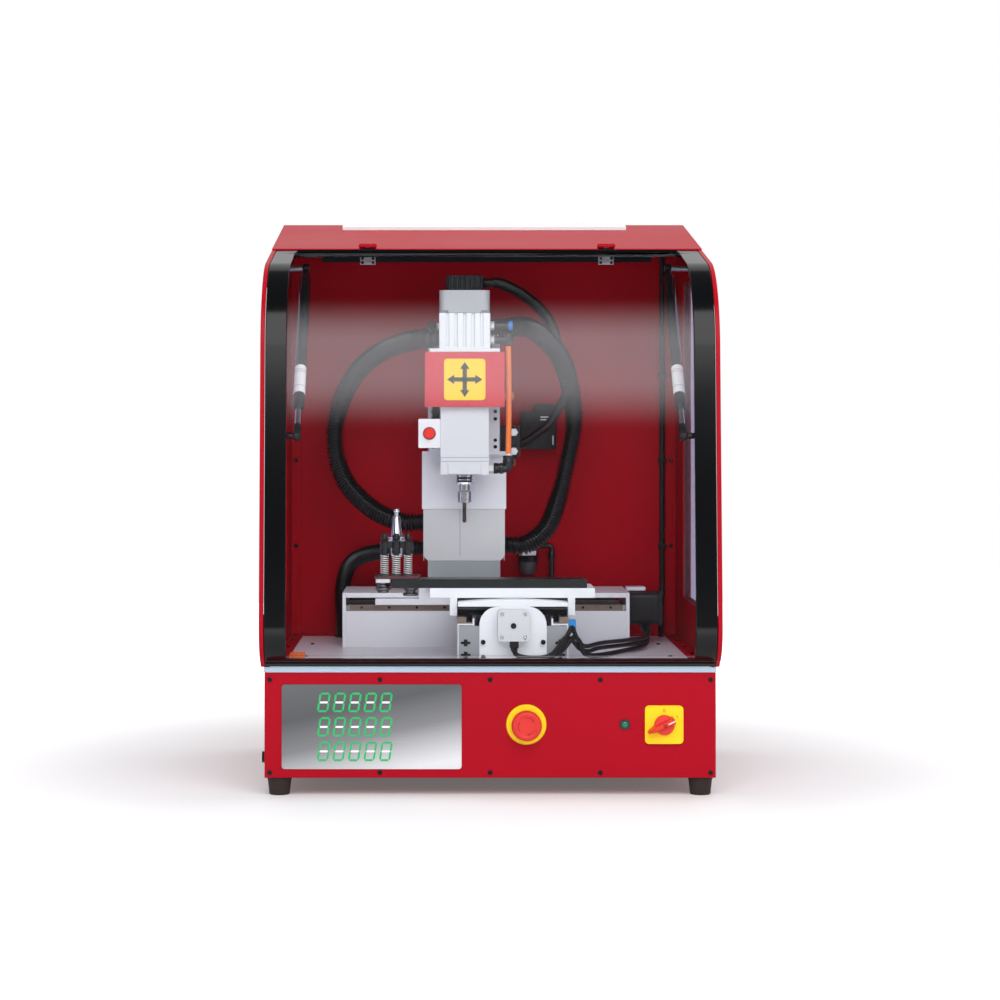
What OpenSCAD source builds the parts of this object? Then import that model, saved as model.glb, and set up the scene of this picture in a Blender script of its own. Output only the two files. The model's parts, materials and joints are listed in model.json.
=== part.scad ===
// Desktop CNC milling machine in a sheet metal enclosure with a top-hinged clear door.
// Millimetres, +Z up, front at -Y. The origin is on the ground under the middle of the machine.

/* [Base] */
// Width of the base box
base_w = 600; // [590:1:640]
// Depth of the base box
base_d = 510; // [505:1:560]
// Height of the base box
base_h = 140; // [125:1:180]
// Thickness of the folded steel sheet
sheet_t = 2; // [1.5:0.1:2.5]
// Thickness of the aluminium top plate
deck_t = 7.5; // [6:0.5:12]
// Height of a rubber foot
foot_h = 24; // [15:1:40]
// Radius of a foot under the base
foot_top_r = 16.5; // [14:0.5:18]
// Radius of a foot on the ground
foot_ground_r = 13.75; // [10:0.25:14]
// Distance from a foot's centre to the edges of the base
foot_inset = 19; // [18:1:30]

/* [Front panel] */
// Head radius of the small black screws
screw_head_r = 3.2; // [2.8:0.1:4]
// Head height of the small black screws
screw_head_h = 1.8; // [1:0.1:2.5]
// Shank radius of the small black screws
screw_r = 1.5; // [1:0.1:2]
// Distance from the panel's edges to its screws
panel_screw_inset = 7; // [6:0.5:9]
// Width of the display plate
display_w = 239; // [200:1:250]
// Height of the display plate
display_h = 112.5; // [104:0.5:118]
// Thickness of the display plate
display_t = 1.5; // [1:0.1:3]
// Distance from the left edge of the panel to the display
display_left = 23; // [15:1:30]
// Height of a digit
digit_h = 26; // [20:0.5:27]
// Width of a digit
digit_w = 15; // [12:0.5:16]
// Spacing of the digits along a row
digit_pitch = 20.6; // [18.5:0.1:22]
// Spacing of the rows of digits
row_pitch = 32.5; // [30:0.5:36]
// Height of the controls above the bottom of the base
control_h = 71; // [60:1:80]
// Distance from the middle of the machine to the emergency stop
estop_x = 48; // [30:1:80]
// Radius of the emergency stop's yellow collar
collar_r = 27; // [22:0.5:32]
// Radius of the emergency stop's mushroom
mushroom_r = 20; // [16:0.5:22]
// Travel of the emergency stop
estop_travel = 4; // [2:0.5:5]
// Distance from the right edge of the panel to the signal lamp
lamp_inset = 121; // [108:1:150]
// Distance from the right edge of the panel to the main switch
switch_inset = 69; // [50:1:80]
// Side of the main switch's square plate
switch_plate_w = 51; // [44:1:60]

/* [Enclosure] */
// How far the hood stands out beyond the base at each side
hood_overhang = 5; // [3:0.5:12]
// Height of the hinge line above the top plate
hinge_h = 569.15; // [560:0.05:580]
// Distance from the base's front to the hinge line
hinge_d = 228; // [222:1:236]
// How far the door bulges past the base's front
door_bow = 39; // [35:0.5:45]
// Backward lean of the door's front face
lean = 4.7; // [4:0.1:5.2]
// Upward slope of the roof towards the rear
roof_slope = 11.1; // [10:0.1:13]
// Radius of the door's lower bend
chin_r = 50; // [46:1:54]
// Height of the lower bend's centre above the top plate
chin_h = 52.5; // [50:0.5:58]
// Radius of the door's upper bend
corner_r = 130; // [110:1:140]
// Thickness of a side panel, rims included
side_t = 6; // [5:0.5:7]
// Distance from the hood's outside to the inner side wall
liner_gap = 10; // [9:0.5:14]
// Clearance at each side of the door
door_clear = 0.5; // [0.3:0.1:1]
// Thickness of the door's black frame
frame_t = 5; // [3:0.5:6]
// Width of the door frame's side bands
band_w = 28.5; // [26:0.5:30]
// Thickness of the clear panes
pane_t = 3; // [2:0.5:4]
// Depth at which the side window ends
window_d = 387; // [340:1:400]
// Radius of a hinge pin
pin_r = 1.5; // [1.2:0.1:2]
// Distance from the middle of the machine to each hinge
hinge_x = 169; // [120:1:190]
// Distance from the inner side wall to each gas strut
strut_inset = 38; // [37:0.5:44]
// Depth of the struts' upper pivots
strut_top_d = 238; // [230:1:246]
// Drop of the struts' upper pivots below the hinge line
strut_top_drop = 25.5; // [23:0.5:29]
// Depth of the struts' lower pivots
strut_low_d = 4; // [2:0.5:6]
// Drop of the struts' lower pivots below the hinge line
strut_low_drop = 262; // [254:1:270]
// Radius of a strut's cylinder
strut_r = 8; // [7.5:0.5:8.5]
// Radius of a strut's rod
strut_rod_r = 4; // [3:0.5:4.5]

/* [Linear units] */
// Width of the aluminium profile under each axis
unit_w = 150; // [146:1:152]
// Height of the profile's outer walls
unit_h = 52.5; // [50:0.5:56]
// Wall thickness of the profile
unit_wall = 2.5; // [2:0.1:3]
// Width of a steel guide rail
rail_w = 12; // [10:0.5:13]
// Height of a steel guide rail
rail_h = 9; // [8:0.5:10]
// Spacing of the bolt holes in a rail
rail_pitch = 40; // [30:1:50]
// Radius of the ball screws
screw_shaft_r = 5; // [4:0.5:6]
// Thickness of the end plates
end_t = 5; // [4:0.5:8]
// Length of the cross unit
x_len = 405; // [400:1:410]
// Depth of the cross unit's front face
x_front_d = 297; // [296:1:300]
// Gap between the long unit and the cross unit behind it
unit_gap = 17; // [16:1:22]
// Depth of the long unit's front face
y_front_d = 60; // [58:1:62]
// Distance from the middle of the machine to the long unit
y_unit_x = 32; // [24:1:40]
// Side of the table motor's square flange
motor_w = 42.3; // [40:0.1:43]
// Spacing of the table motor's screws
motor_pitch = 31; // [29:0.1:32]

/* [Column and head] */
// Distance from the middle of the machine to the spindle
spindle_x = -32; // [-40:1:-30]
// Distance from the column's front face to the spindle axis
spindle_reach = 71; // [70:0.5:72]
// Width of the column
column_w = 104; // [102:1:106]
// Height of the column's top above the top plate
column_top = 468.5; // [450:0.5:475]
// Width of the spindle housing
housing_w = 68; // [64:1:68]
// Height of the spindle housing's bottom above the top plate
head_h = 251.5; // [248:0.5:256]
// Width of the red head cover
cover_w = 112; // [108:1:114]
// Side of the yellow plate on the head cover
badge_w = 58; // [50:1:64]
// Side of the ribbed spindle motor
motor_block_w = 72; // [68:1:72]
// Radius of the spindle shaft
spindle_r = 12; // [10:0.5:13]
// Radius of the cutting tool
tool_r = 2.5; // [1:0.25:3]
// Travel of the push button on the head
button_travel = 2; // [1:0.5:2.5]

/* [Table] */
// Width of the table plate
table_w = 225; // [215:1:235]
// Depth of the table plate
table_d = 100; // [90:1:104]
// Thickness of the table plate
table_t = 13.5; // [12:0.5:15]
// Length of the black clamping bar
bar_w = 267; // [262:1:270]
// Depth of the black clamping bar
bar_d = 50; // [48:1:55]
// Thickness of the black clamping bar
bar_t = 12; // [10:0.5:12.5]
// Spacing of the sprung posts
post_pitch = 16; // [15:0.5:18]
// Radius of a sprung post's sleeve
post_r = 6.2; // [5.5:0.1:6.6]
// Travel of the sprung posts
post_travel = 6; // [3:0.5:7]

/* [Clearances] */
// Gap of a running fit, on the radius
run_gap = 0.05; // [0.02:0.01:0.1]
// Gap between sliding or passing faces
pass_gap = 0.3; // [0.2:0.05:0.4]

/* [Hidden] */
$fn = 48;
eps = 0.01;
base_z = foot_h;
base_top = base_z + base_h;
deck_z = base_top + deck_t;
front_y = -(base_d - door_bow) / 2;
control_z = base_z + control_h;
half_hood = base_w / 2 + hood_overhang;
lamp_x = base_w / 2 - lamp_inset;
switch_x = base_w / 2 - switch_inset;

// The hood's outline in depth and height
chin = [chin_r - door_bow, deck_z + chin_h];
lean_n = [-cos(lean), sin(lean)];
roof_n = [-sin(roof_slope), cos(roof_slope)];
hinge_line = [hinge_d, deck_z + hinge_h];
lean_k = chin * lean_n + chin_r - corner_r;
roof_k = hinge_line * roof_n - corner_r;
turn = -cos(lean + roof_slope);
corner = [(lean_k * roof_n[1] - lean_n[1] * roof_k) / turn, (lean_n[0] * roof_k - roof_n[0] * lean_k) / turn];
chin_start = 250;
lean_angle = 180 - lean;
roof_angle = 90 + roof_slope;

// Door, hinge and strut places
door_half = half_hood - side_t - door_clear;
door_end_d = hinge_d - 2;
knuckle_r = pin_r + 2;
hinge_lift = sheet_t + knuckle_r + 0.5;
liner_x = half_hood - liner_gap;
strut_x = liner_x - strut_inset;
strut_top = [strut_top_d, hinge_line[1] - strut_top_drop];
strut_low = [strut_low_d, hinge_line[1] - strut_low_drop];
strut_len = norm(strut_top - strut_low);
strut_angle = atan2(strut_top[0] - strut_low[0], strut_top[1] - strut_low[1]);
eye_r = 7;
eye_w = 10;
stud_r = 4;

// Heights and places in the linear units, from the top plate and the unit's middle line
half_unit = unit_w / 2;
inner_wall = 52;
channel_h = 32;
upstand_h = unit_h + 7;
rail_x = half_unit - rail_w;
rail_top = unit_h + rail_h;
screw_h = unit_h - 0.5;
truck_top = rail_top + rail_h;
cross_t = truck_top - upstand_h - 2.5;
leg_t = 10;
x_mid_d = x_front_d + half_unit;
y_len = x_front_d - unit_gap - y_front_d;
y_mid_d = y_front_d + y_len / 2;
x_cover_h = truck_top + 1;
x_cover_t = 7;
y_cover_h = truck_top + 5.5;
y_cover_t = 9.5;
x_plate_h = x_cover_h + x_cover_t + 1;
x_plate_t = 12;
x_plate_w = 130;
table_h = y_cover_h + y_cover_t + 0.5;
table_z = deck_z + table_h;
table_front_d = y_front_d + 21;
bar_z = table_z + table_t;
bar_front_d = table_front_d;

// Column and head places
column_d = x_front_d - 4;
spindle_d = column_d - spindle_reach;
column_z = deck_z + x_plate_h + x_plate_t;
column_depth = 87;
column_wall = 8;
z_rail_t = 8;
z_screw_d = column_d + 12;
slide_t = 14;
slide_back_d = column_d - z_rail_t - 13;
slide_front_d = slide_back_d - slide_t;
slide_w = 100;
head_z = deck_z + head_h;
slide_z = head_z + 28;
housing_top = head_z + 95;
cover_top = housing_top + 77;
flange_top = cover_top + 5;
block_top = flange_top + 50;
cap_top = block_top + 32;
head_top = cap_top + 21;
housing_front_d = spindle_d - housing_w / 2;
guard_t = 1.2;
guard_gap = 0.5;

// ---- Helpers ----

// Places children that are drawn with y as the depth behind the base's front
module from_front() {
    translate([0, front_y, 0]) children();
}

module both_sides() {
    children();
    mirror([1, 0, 0]) children();
}

module box(x0, x1, y0, y1, z0, z1) {
    translate([x0, y0, z0]) cube([x1 - x0, y1 - y0, z1 - z0]);
}

// A solid whose section in depth and height runs from x0 to x1
module across(x0, x1) {
    translate([x0, 0, 0]) rotate([90, 0, 90]) linear_extrude(x1 - x0) children();
}

// A cylinder along x or along y, from its first end
module rod_x(r, len) {
    rotate([0, 90, 0]) cylinder(r = r, h = len);
}

module rod_y(r, len) {
    rotate([-90, 0, 0]) cylinder(r = r, h = len);
}

module rounded_plate(w, h, t, r) {
    linear_extrude(t) union() {
        square([w - 2 * r, h], center = true);
        square([w, h - 2 * r], center = true);
        for (sx = [-1, 1], sy = [-1, 1]) translate([sx * (w / 2 - r), sy * (h / 2 - r)]) circle(r);
    }
}

function reverse(list) = [for (i = [len(list) - 1 : -1 : 0]) list[i]];
function arc(c, r, a0, a1, n) = [for (i = [0 : n]) let (a = a0 + (a1 - a0) * i / n) c + r * [cos(a), sin(a)]];
function roof_line(d) = hinge_line[1] + (d - hinge_d) * tan(roof_slope);
// The hood's outline moved inwards, from the chin over the corner to the depth end_d
function skin(inset, end_d) = concat(
    arc(chin, chin_r - inset, chin_start, lean_angle, 10),
    arc(corner, corner_r - inset, lean_angle, roof_angle, 24),
    [[end_d, roof_line(end_d) - inset / cos(roof_slope)]]
);
// A band of the skin between two insets
function skin_band(outer, inner, end_d) = concat(skin(outer, end_d), reverse(skin(inner, end_d)));

// A smooth curve through hand-chosen points
function curve_point(a, b, c, d, t) = 0.5 * (
    2 * b + (c - a) * t + (2 * a - 5 * b + 4 * c - d) * t * t + (3 * b - a - 3 * c + d) * t * t * t
);
function smooth_curve(p, n) = concat(
    [for (i = [0 : len(p) - 2], j = [0 : n - 1])
        curve_point(p[max(i - 1, 0)], p[i], p[i + 1], p[min(i + 2, len(p) - 1)], j / n)],
    [p[len(p) - 1]]
);
function unit(v) = v / norm(v);
function tangent(p, i) = unit(p[min(i + 1, len(p) - 1)] - p[max(i - 1, 0)]);
function square_to(v, t) = unit(v - (v * t) * t);
// Directions square to a path, carried along it without twist; the path doesn't start along side
function carried(p, side) = [
    for (i = 0, u = square_to(side, tangent(p, 0)); i < len(p);
        i = i + 1, u = i < len(p) ? square_to(u, tangent(p, i)) : u) u
];
// A closed round tube along a path
module tube(path, r, side = [0, 1, 0], sides = 12) {
    n = len(path);
    across_path = carried(path, side);
    rings = [for (i = [0 : n - 1]) let (u = across_path[i], v = cross(tangent(path, i), u))
        for (k = [0 : sides - 1]) let (a = 360 * k / sides) path[i] + r * (cos(a) * u + sin(a) * v)];
    walls = [for (i = [0 : n - 2], k = [0 : sides - 1])
        let (a = i * sides + k, b = i * sides + (k + 1) % sides) each [[a, a + sides, b], [b, a + sides, b + sides]]];
    caps = [[for (k = [0 : sides - 1]) k], [for (k = [sides - 1 : -1 : 0]) (n - 1) * sides + k]];
    polyhedron(rings, concat(walls, caps), convexity = 6);
}

// ---- Base ----

module base_housing() {
    lip = 12;
    color("crimson") from_front() difference() {
        box(-base_w / 2, base_w / 2, sheet_t, base_d, base_z, base_top);
        box(-base_w / 2 + sheet_t, base_w / 2 - sheet_t, 0, base_d - sheet_t, base_z + sheet_t, base_top - sheet_t);
        box(-base_w / 2 + lip, base_w / 2 - lip, lip, base_d - lip, base_top - 2 * sheet_t, base_top + eps);
        for (x = [-1, 1], d = [foot_inset, base_d - foot_inset])
            translate([x * (base_w / 2 - foot_inset), d, base_z - eps]) cylinder(r = screw_r + run_gap, h = 2 * sheet_t);
    }
}

module front_panel() {
    color("crimson") from_front() difference() {
        box(-base_w / 2, base_w / 2, 0, sheet_t, base_z, base_top);
        for (p = panel_screws()) translate([p[0], -eps, p[1]]) rod_y(screw_r + run_gap, 2 * sheet_t);
        translate([estop_x, -eps, control_z]) rod_y(stem_r + run_gap, 2 * sheet_t);
        translate([lamp_x, -eps, control_z]) rod_y(lens_r + run_gap, 2 * sheet_t);
        translate([switch_x, -eps, control_z]) rod_y(shaft_r + run_gap, 2 * sheet_t);
    }
}

function panel_screws() = [
    for (i = [-2 : 2], z = [base_z + panel_screw_inset, base_top - panel_screw_inset - 2.5])
        [i * (base_w / 2 - panel_screw_inset) / 2, z]
];

module foot() {
    difference() {
        cylinder(r1 = foot_ground_r, r2 = foot_top_r, h = foot_h);
        translate([0, 0, -eps]) cylinder(r = 7, h = foot_h / 2);
        translate([0, 0, -eps]) cylinder(r = screw_r + run_gap, h = foot_h + 1);
    }
}

module feet() {
    color("black") from_front() for (x = [-1, 1], d = [foot_inset, base_d - foot_inset])
        translate([x * (base_w / 2 - foot_inset), d, 0]) foot();
}

// A button-head screw pointing up, with a hexagon socket; its head's underside is at z = 0
module black_screw(len) {
    difference() {
        union() {
            cylinder(r1 = screw_head_r, r2 = screw_head_r * 0.75, h = screw_head_h);
            translate([0, 0, -len]) cylinder(r = screw_r, h = len + eps);
        }
        translate([0, 0, screw_head_h * 0.4]) cylinder(r = screw_head_r * 0.45, h = screw_head_h, $fn = 6);
    }
}

flange_w = 20;
flange_bolt_d = [60, 170, 280, 390, 480];
rear_bolt_x = [-200 : 100 : 200];
wall_bolt_z = [deck_z + 137 : 130 : deck_z + 397];
floor_bolt_x = liner_x - 42;
floor_bolt_d = [150, 345];
module black_screws() {
    color("black") from_front() {
        for (p = panel_screws()) translate([p[0], 0, p[1]]) rotate([90, 0, 0]) black_screw(sheet_t + 3);
        both_sides() for (d = flange_bolt_d)
            translate([liner_x - flange_w / 2, d, deck_z + sheet_t]) black_screw(sheet_t + 3);
        for (x = rear_bolt_x)
            translate([x, base_d - sheet_t - flange_w / 2, deck_z + sheet_t]) black_screw(sheet_t + 3);
        for (x = [-1, 1], d = floor_bolt_d) translate([x * floor_bolt_x, d, deck_z]) black_screw(4);
        both_sides() for (z = wall_bolt_z)
            translate([liner_x - 9, base_d - 2 * sheet_t, z]) rotate([90, 0, 0]) black_screw(sheet_t + 1);
    }
}

module display_plate() {
    color("silver") from_front()
        translate([-base_w / 2 + display_left + display_w / 2, 0, control_z - 3])
            rotate([90, 0, 0]) rounded_plate(display_w, display_h, display_t, 4);
}

// One bar of a digit along x, with pointed ends, leaning with the digit
stroke = 2.6;
slant = tan(9);
function leaned(points) = [for (p = points) [p[0] + slant * p[1], p[1]]];
function flat_bar(len, z) = leaned([[-len / 2, z], [-len / 2 + stroke / 2, z + stroke / 2],
    [len / 2 - stroke / 2, z + stroke / 2], [len / 2, z], [len / 2 - stroke / 2, z - stroke / 2],
    [-len / 2 + stroke / 2, z - stroke / 2]]);
function tall_bar(len, x, z) = leaned([[x, z - len / 2], [x - stroke / 2, z - len / 2 + stroke / 2],
    [x - stroke / 2, z + len / 2 - stroke / 2], [x, z + len / 2], [x + stroke / 2, z + len / 2 - stroke / 2],
    [x + stroke / 2, z - len / 2 + stroke / 2]]);

module digit(t) {
    reach_x = (digit_w - stroke) / 2;
    reach_z = (digit_h - stroke) / 2;
    linear_extrude(t) {
        for (z = [-reach_z, 0, reach_z]) polygon(flat_bar(2 * reach_x - 1, z));
        for (x = [-reach_x, reach_x], z = [-reach_z / 2, reach_z / 2]) polygon(tall_bar(reach_z - 1, x, z));
    }
}

module display_digits() {
    first_x = -base_w / 2 + display_left + 56;
    color("mediumseagreen") from_front() for (row = [-1 : 1], i = [0 : 4])
        translate([first_x + i * digit_pitch, -display_t, control_z - 3 + row * row_pitch])
            rotate([90, 0, 0]) digit(0.4);
}

stem_r = 8;
lens_r = 4.5;
shaft_r = 5;
collar_t = 3;
mushroom_gap = 10;
module estop_collar() {
    color("gold") from_front() translate([estop_x, 0, control_z]) rotate([90, 0, 0]) difference() {
        cylinder(r1 = collar_r, r2 = collar_r - 1, h = collar_t);
        translate([0, 0, -eps]) cylinder(r = stem_r + run_gap, h = collar_t + 1);
    }
}

// The stem slides through the collar and the panel and has a nut-like stop behind the panel
module estop_stem() {
    color("dimgray") from_front() translate([estop_x, 0, control_z]) rotate([90, 0, 0]) {
        translate([0, 0, -26]) cylinder(r = stem_r, h = 26 + mushroom_gap);
        translate([0, 0, mushroom_gap - eps]) cylinder(r = stem_r / 2, h = 10);
        translate([0, 0, -26]) cylinder(r = stem_r + 4, h = 26 - sheet_t - pass_gap);
    }
}

module estop_button() {
    crown = 20;
    color("firebrick") from_front() translate([estop_x, 0, control_z]) rotate([90, 0, 0]) difference() {
        translate([0, 0, mushroom_gap]) rotate_extrude($fn = 96) polygon(concat(
            [[0, 0], [mushroom_r - 2, 0], [mushroom_r, 2], [mushroom_r, 9]],
            arc([mushroom_r - 6, 9], 6, 0, 55, 5),
            [[mushroom_r - 8, crown - 3], [mushroom_r - 12, crown - 4], [0, crown - 4.5]]));
        translate([0, 0, mushroom_gap - eps]) cylinder(r = stem_r / 2 + run_gap, h = 10.5);
    }
}

module signal_lamp() {
    color("darkgreen") from_front() translate([lamp_x, 0, control_z]) rotate([90, 0, 0]) {
        difference() {
            cylinder(r = 7, h = 2.2);
            translate([0, 0, -eps]) cylinder(r = lens_r, h = 3);
        }
        translate([0, 0, -12]) cylinder(r = lens_r, h = 13.5);
        translate([0, 0, 1.5 - eps]) cylinder(r1 = lens_r, r2 = lens_r - 2, h = 1.6);
    }
}

module switch_plate() {
    color("gold") from_front() translate([switch_x, 0, control_z]) rotate([90, 0, 0]) difference() {
        rounded_plate(switch_plate_w, switch_plate_w, 4, 5.5);
        translate([0, 0, -eps]) cylinder(r = shaft_r + run_gap, h = 5);
    }
}

module switch_handle() {
    disc_r = switch_plate_w * 0.26;
    color("red") from_front() translate([switch_x, 0, control_z]) rotate([90, 0, 0]) {
        translate([0, 0, -15]) cylinder(r = shaft_r, h = 20);
        translate([0, 0, 4 + pass_gap]) cylinder(r = disc_r, h = 6);
        rotate(205) translate([0, 0, 4 + pass_gap]) difference() {
            linear_extrude(15) polygon([[-15, -5], [-13, -6.5], [10, -6.5], [24, 0], [10, 6.5], [-13, 6.5], [-15, 5]]);
            translate([-10, 0, 10]) cylinder(r = 1.6, h = 6);
        }
    }
}

// ---- Enclosure ----

module top_plate() {
    color("lightsteelblue") from_front() difference() {
        union() {
            box(-base_w / 2 - 1, base_w / 2 + 1, 0, base_d, base_top, deck_z);
            box(-liner_x + sheet_t, liner_x - sheet_t, 0, 8, deck_z - eps, deck_z + 6);
        }
        both_sides() for (d = flange_bolt_d) translate([liner_x - flange_w / 2, d, base_top + 1])
            cylinder(r = screw_r + run_gap, h = deck_t);
        for (x = rear_bolt_x)
            translate([x, base_d - sheet_t - flange_w / 2, base_top + 1]) cylinder(r = screw_r + run_gap, h = deck_t);
        for (x = [-1, 1], d = floor_bolt_d) translate([x * floor_bolt_x, d, base_top + 1])
            cylinder(r = screw_r + run_gap, h = deck_t);
    }
}

// The outline of a side wall, down to the top plate and back to end_d
module side_outline(inset, end_d, low) {
    polygon(concat(skin(inset, end_d), [[end_d, low], [max(chin[0] - chin_r + inset + 33, 0), low]]));
}

module window_outline(grow = 0) {
    margin = 34 - grow;
    intersection() {
        side_outline(margin, base_d - margin, deck_z + margin);
        translate([-100, deck_z + 66.5 - grow]) square([window_d + 100 + grow, 462 + 2 * grow]);
    }
}

module side_panels() {
    rim = 4;
    color("crimson") from_front() both_sides() difference() {
        across(half_hood - side_t, half_hood) side_outline(0, base_d, deck_z);
        across(half_hood - side_t - 1, half_hood - sheet_t) side_outline(rim, base_d - rim, deck_z + rim);
        across(half_hood - side_t, half_hood + 1) window_outline();
    }
}

module side_liners() {
    back_d = base_d - 2 * sheet_t;
    color("firebrick") from_front() both_sides() difference() {
        union() {
            across(liner_x - sheet_t, liner_x) side_outline(10, back_d, deck_z);
            box(liner_x - flange_w, liner_x, 12, back_d, deck_z, deck_z + sheet_t);
            box(liner_x - flange_w + 3, liner_x, back_d, back_d + sheet_t, deck_z, roof_line(back_d) - 12);
        }
        across(liner_x - 2 * sheet_t, liner_x + 1) window_outline();
        for (d = flange_bolt_d) translate([liner_x - flange_w / 2, d, deck_z - eps])
            cylinder(r = screw_r + run_gap, h = 2 * sheet_t);
        for (z = wall_bolt_z)
            translate([liner_x - 9, back_d - 1, z]) rod_y(screw_r + run_gap, 2 * sheet_t);
    }
}

module side_windows() {
    color("lavender", 0.4) from_front() both_sides() across(liner_x, liner_x + pane_t) window_outline(8);
}

hinge_flange_x = 234;
hinge_flange_h = 17;
module roof() {
    start = hinge_d + 1;
    color("crimson") from_front() {
        across(-half_hood, half_hood) polygon([
            [start, roof_line(start)], [base_d, roof_line(base_d)],
            [base_d, roof_line(base_d) + sheet_t], [start, roof_line(start) + sheet_t]]);
        across(-hinge_flange_x, hinge_flange_x) polygon([
            [start + 2, roof_line(start) - hinge_flange_h], [start + 2 + sheet_t, roof_line(start) - hinge_flange_h],
            [start + 2 + sheet_t, roof_line(start) + sheet_t / 2], [start + 2, roof_line(start) + sheet_t / 2]]);
        both_sides() across(liner_x - 2 * sheet_t, liner_x - sheet_t) polygon([
            [start + 12, roof_line(start + 12) + eps], [start + 12, roof_line(start) - 12],
            [base_d - 3 * sheet_t, roof_line(base_d) - 14], [base_d - 3 * sheet_t, roof_line(base_d - 3 * sheet_t) + eps]]);
    }
}

module roof_panel() {
    half = 213;
    depth = 40;
    rear_d = base_d - 30;
    color("whitesmoke") from_front() translate([0, rear_d, roof_line(rear_d) + sheet_t])
        rotate([roof_slope, 0, 0]) translate([-half, -depth, 0]) cube([2 * half, depth, 6]);
}

module rear_wall() {
    d0 = base_d - sheet_t;
    hole_h = 3 * sheet_t;
    color("firebrick") from_front() difference() {
        union() {
            across(-half_hood + side_t, half_hood - side_t) polygon([
                [d0, deck_z], [base_d, deck_z], [base_d, roof_line(base_d)], [d0, roof_line(d0)]]);
            box(-liner_x + flange_w + 1, liner_x - flange_w - 1, d0 - flange_w, d0 + eps, deck_z, deck_z + sheet_t);
        }
        for (x = rear_bolt_x)
            translate([x, d0 - flange_w / 2, deck_z - eps]) cylinder(r = screw_r + run_gap, h = hole_h);
        both_sides() for (z = wall_bolt_z)
            translate([liner_x - 9, d0 - 1, z]) rod_y(screw_r + run_gap, hole_h);
    }
}

module interlock_block() {
    x = -liner_x + flange_w + 7;
    color("darkorange") from_front() box(x, x + 20, 20, 40, deck_z, deck_z + 16);
}

// Frame of the hinges: y along the roof, z square to it, origin on the hinge line
module at_hinge(x) {
    translate([x, hinge_line[0], hinge_line[1]]) rotate([roof_slope, 0, 0]) children();
}

knuckle_w = 8;
leaf_w = 3 * knuckle_w;

// Roof leaves with their pins, and the brackets with the struts' upper pivots
module fixed_fittings() {
    color("gray") from_front() {
        for (sx = [-1, 1]) at_hinge(sx * hinge_x) {
            difference() {
                union() {
                    translate([-leaf_w / 2, 3, sheet_t]) cube([leaf_w, 12, 2]);
                    for (x = [-leaf_w / 2, leaf_w / 2 - knuckle_w]) {
                        translate([x, 0, hinge_lift]) rod_x(knuckle_r, knuckle_w);
                        translate([x, 1.2, sheet_t]) cube([knuckle_w, knuckle_r, hinge_lift - sheet_t]);
                    }
                }
                translate([-leaf_w, 0, hinge_lift]) rod_x(pin_r, 2 * leaf_w);
            }
            translate([-leaf_w / 2 - 1, 0, hinge_lift]) rod_x(pin_r, leaf_w + 2);
        }
        for (sx = [-1, 1]) box(sx * hinge_x - 11, sx * hinge_x + 11, hinge_d + 1.2, hinge_d + 3,
            hinge_line[1] - hinge_flange_h - 3.5, hinge_line[1] - 8.5);
        both_sides() {
            box(liner_x - 2 * sheet_t - 3, liner_x - 2 * sheet_t, strut_top[0] - 15, strut_top[0] + 15,
                strut_top[1] - 12, strut_top[1] + 12);
            box(liner_x - 2 * sheet_t - eps, liner_x - sheet_t, strut_top[0] - 15, strut_top[0] + 15,
                strut_top[1] - 12, strut_top[1]- 2);
            translate([strut_x - eye_w / 2, strut_top[0], strut_top[1]])
                rod_x(stud_r, liner_x - 2 * sheet_t - strut_x + eye_w / 2);
        }
    }
}

module door_frame() {
    rail_w = 34;
    fillet = 16;
    edge_x = door_half - band_w;
    lip = chin + chin_r * [cos(chin_start), sin(chin_start)];
    function on_roof(y, z) = hinge_line + y * [cos(roof_slope), sin(roof_slope)] + z * roof_n;
    color("black") from_front() {
        difference() {
            across(-door_half, door_half) polygon(skin_band(0, frame_t, door_end_d));
            across(-edge_x, edge_x) polygon([
                [-door_bow - 5, chin[1] - 40], [-door_bow - 5, hinge_line[1] + 20],
                on_roof(-rail_w, 10), on_roof(-rail_w, -20), [on_roof(-rail_w, -20)[0], chin[1] - 40]]);
        }
        box(-door_half, door_half, lip[0] + 0.2, lip[0] + 3, deck_z + 1, lip[1] + 3);
        both_sides() at_hinge(edge_x) difference() {
            translate([-fillet, -rail_w - fillet, -frame_t]) cube([fillet + 1, fillet + 1, frame_t - 0.05]);
            translate([-fillet, -rail_w - fillet, -frame_t - 1]) cylinder(r = fillet, h = frame_t + 2);
        }
    }
}

module door_pane() {
    color("lightcyan", 0.3) from_front()
        across(-door_half + 8, door_half - 8) polygon(skin_band(frame_t, frame_t + pane_t, door_end_d));
}

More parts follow.
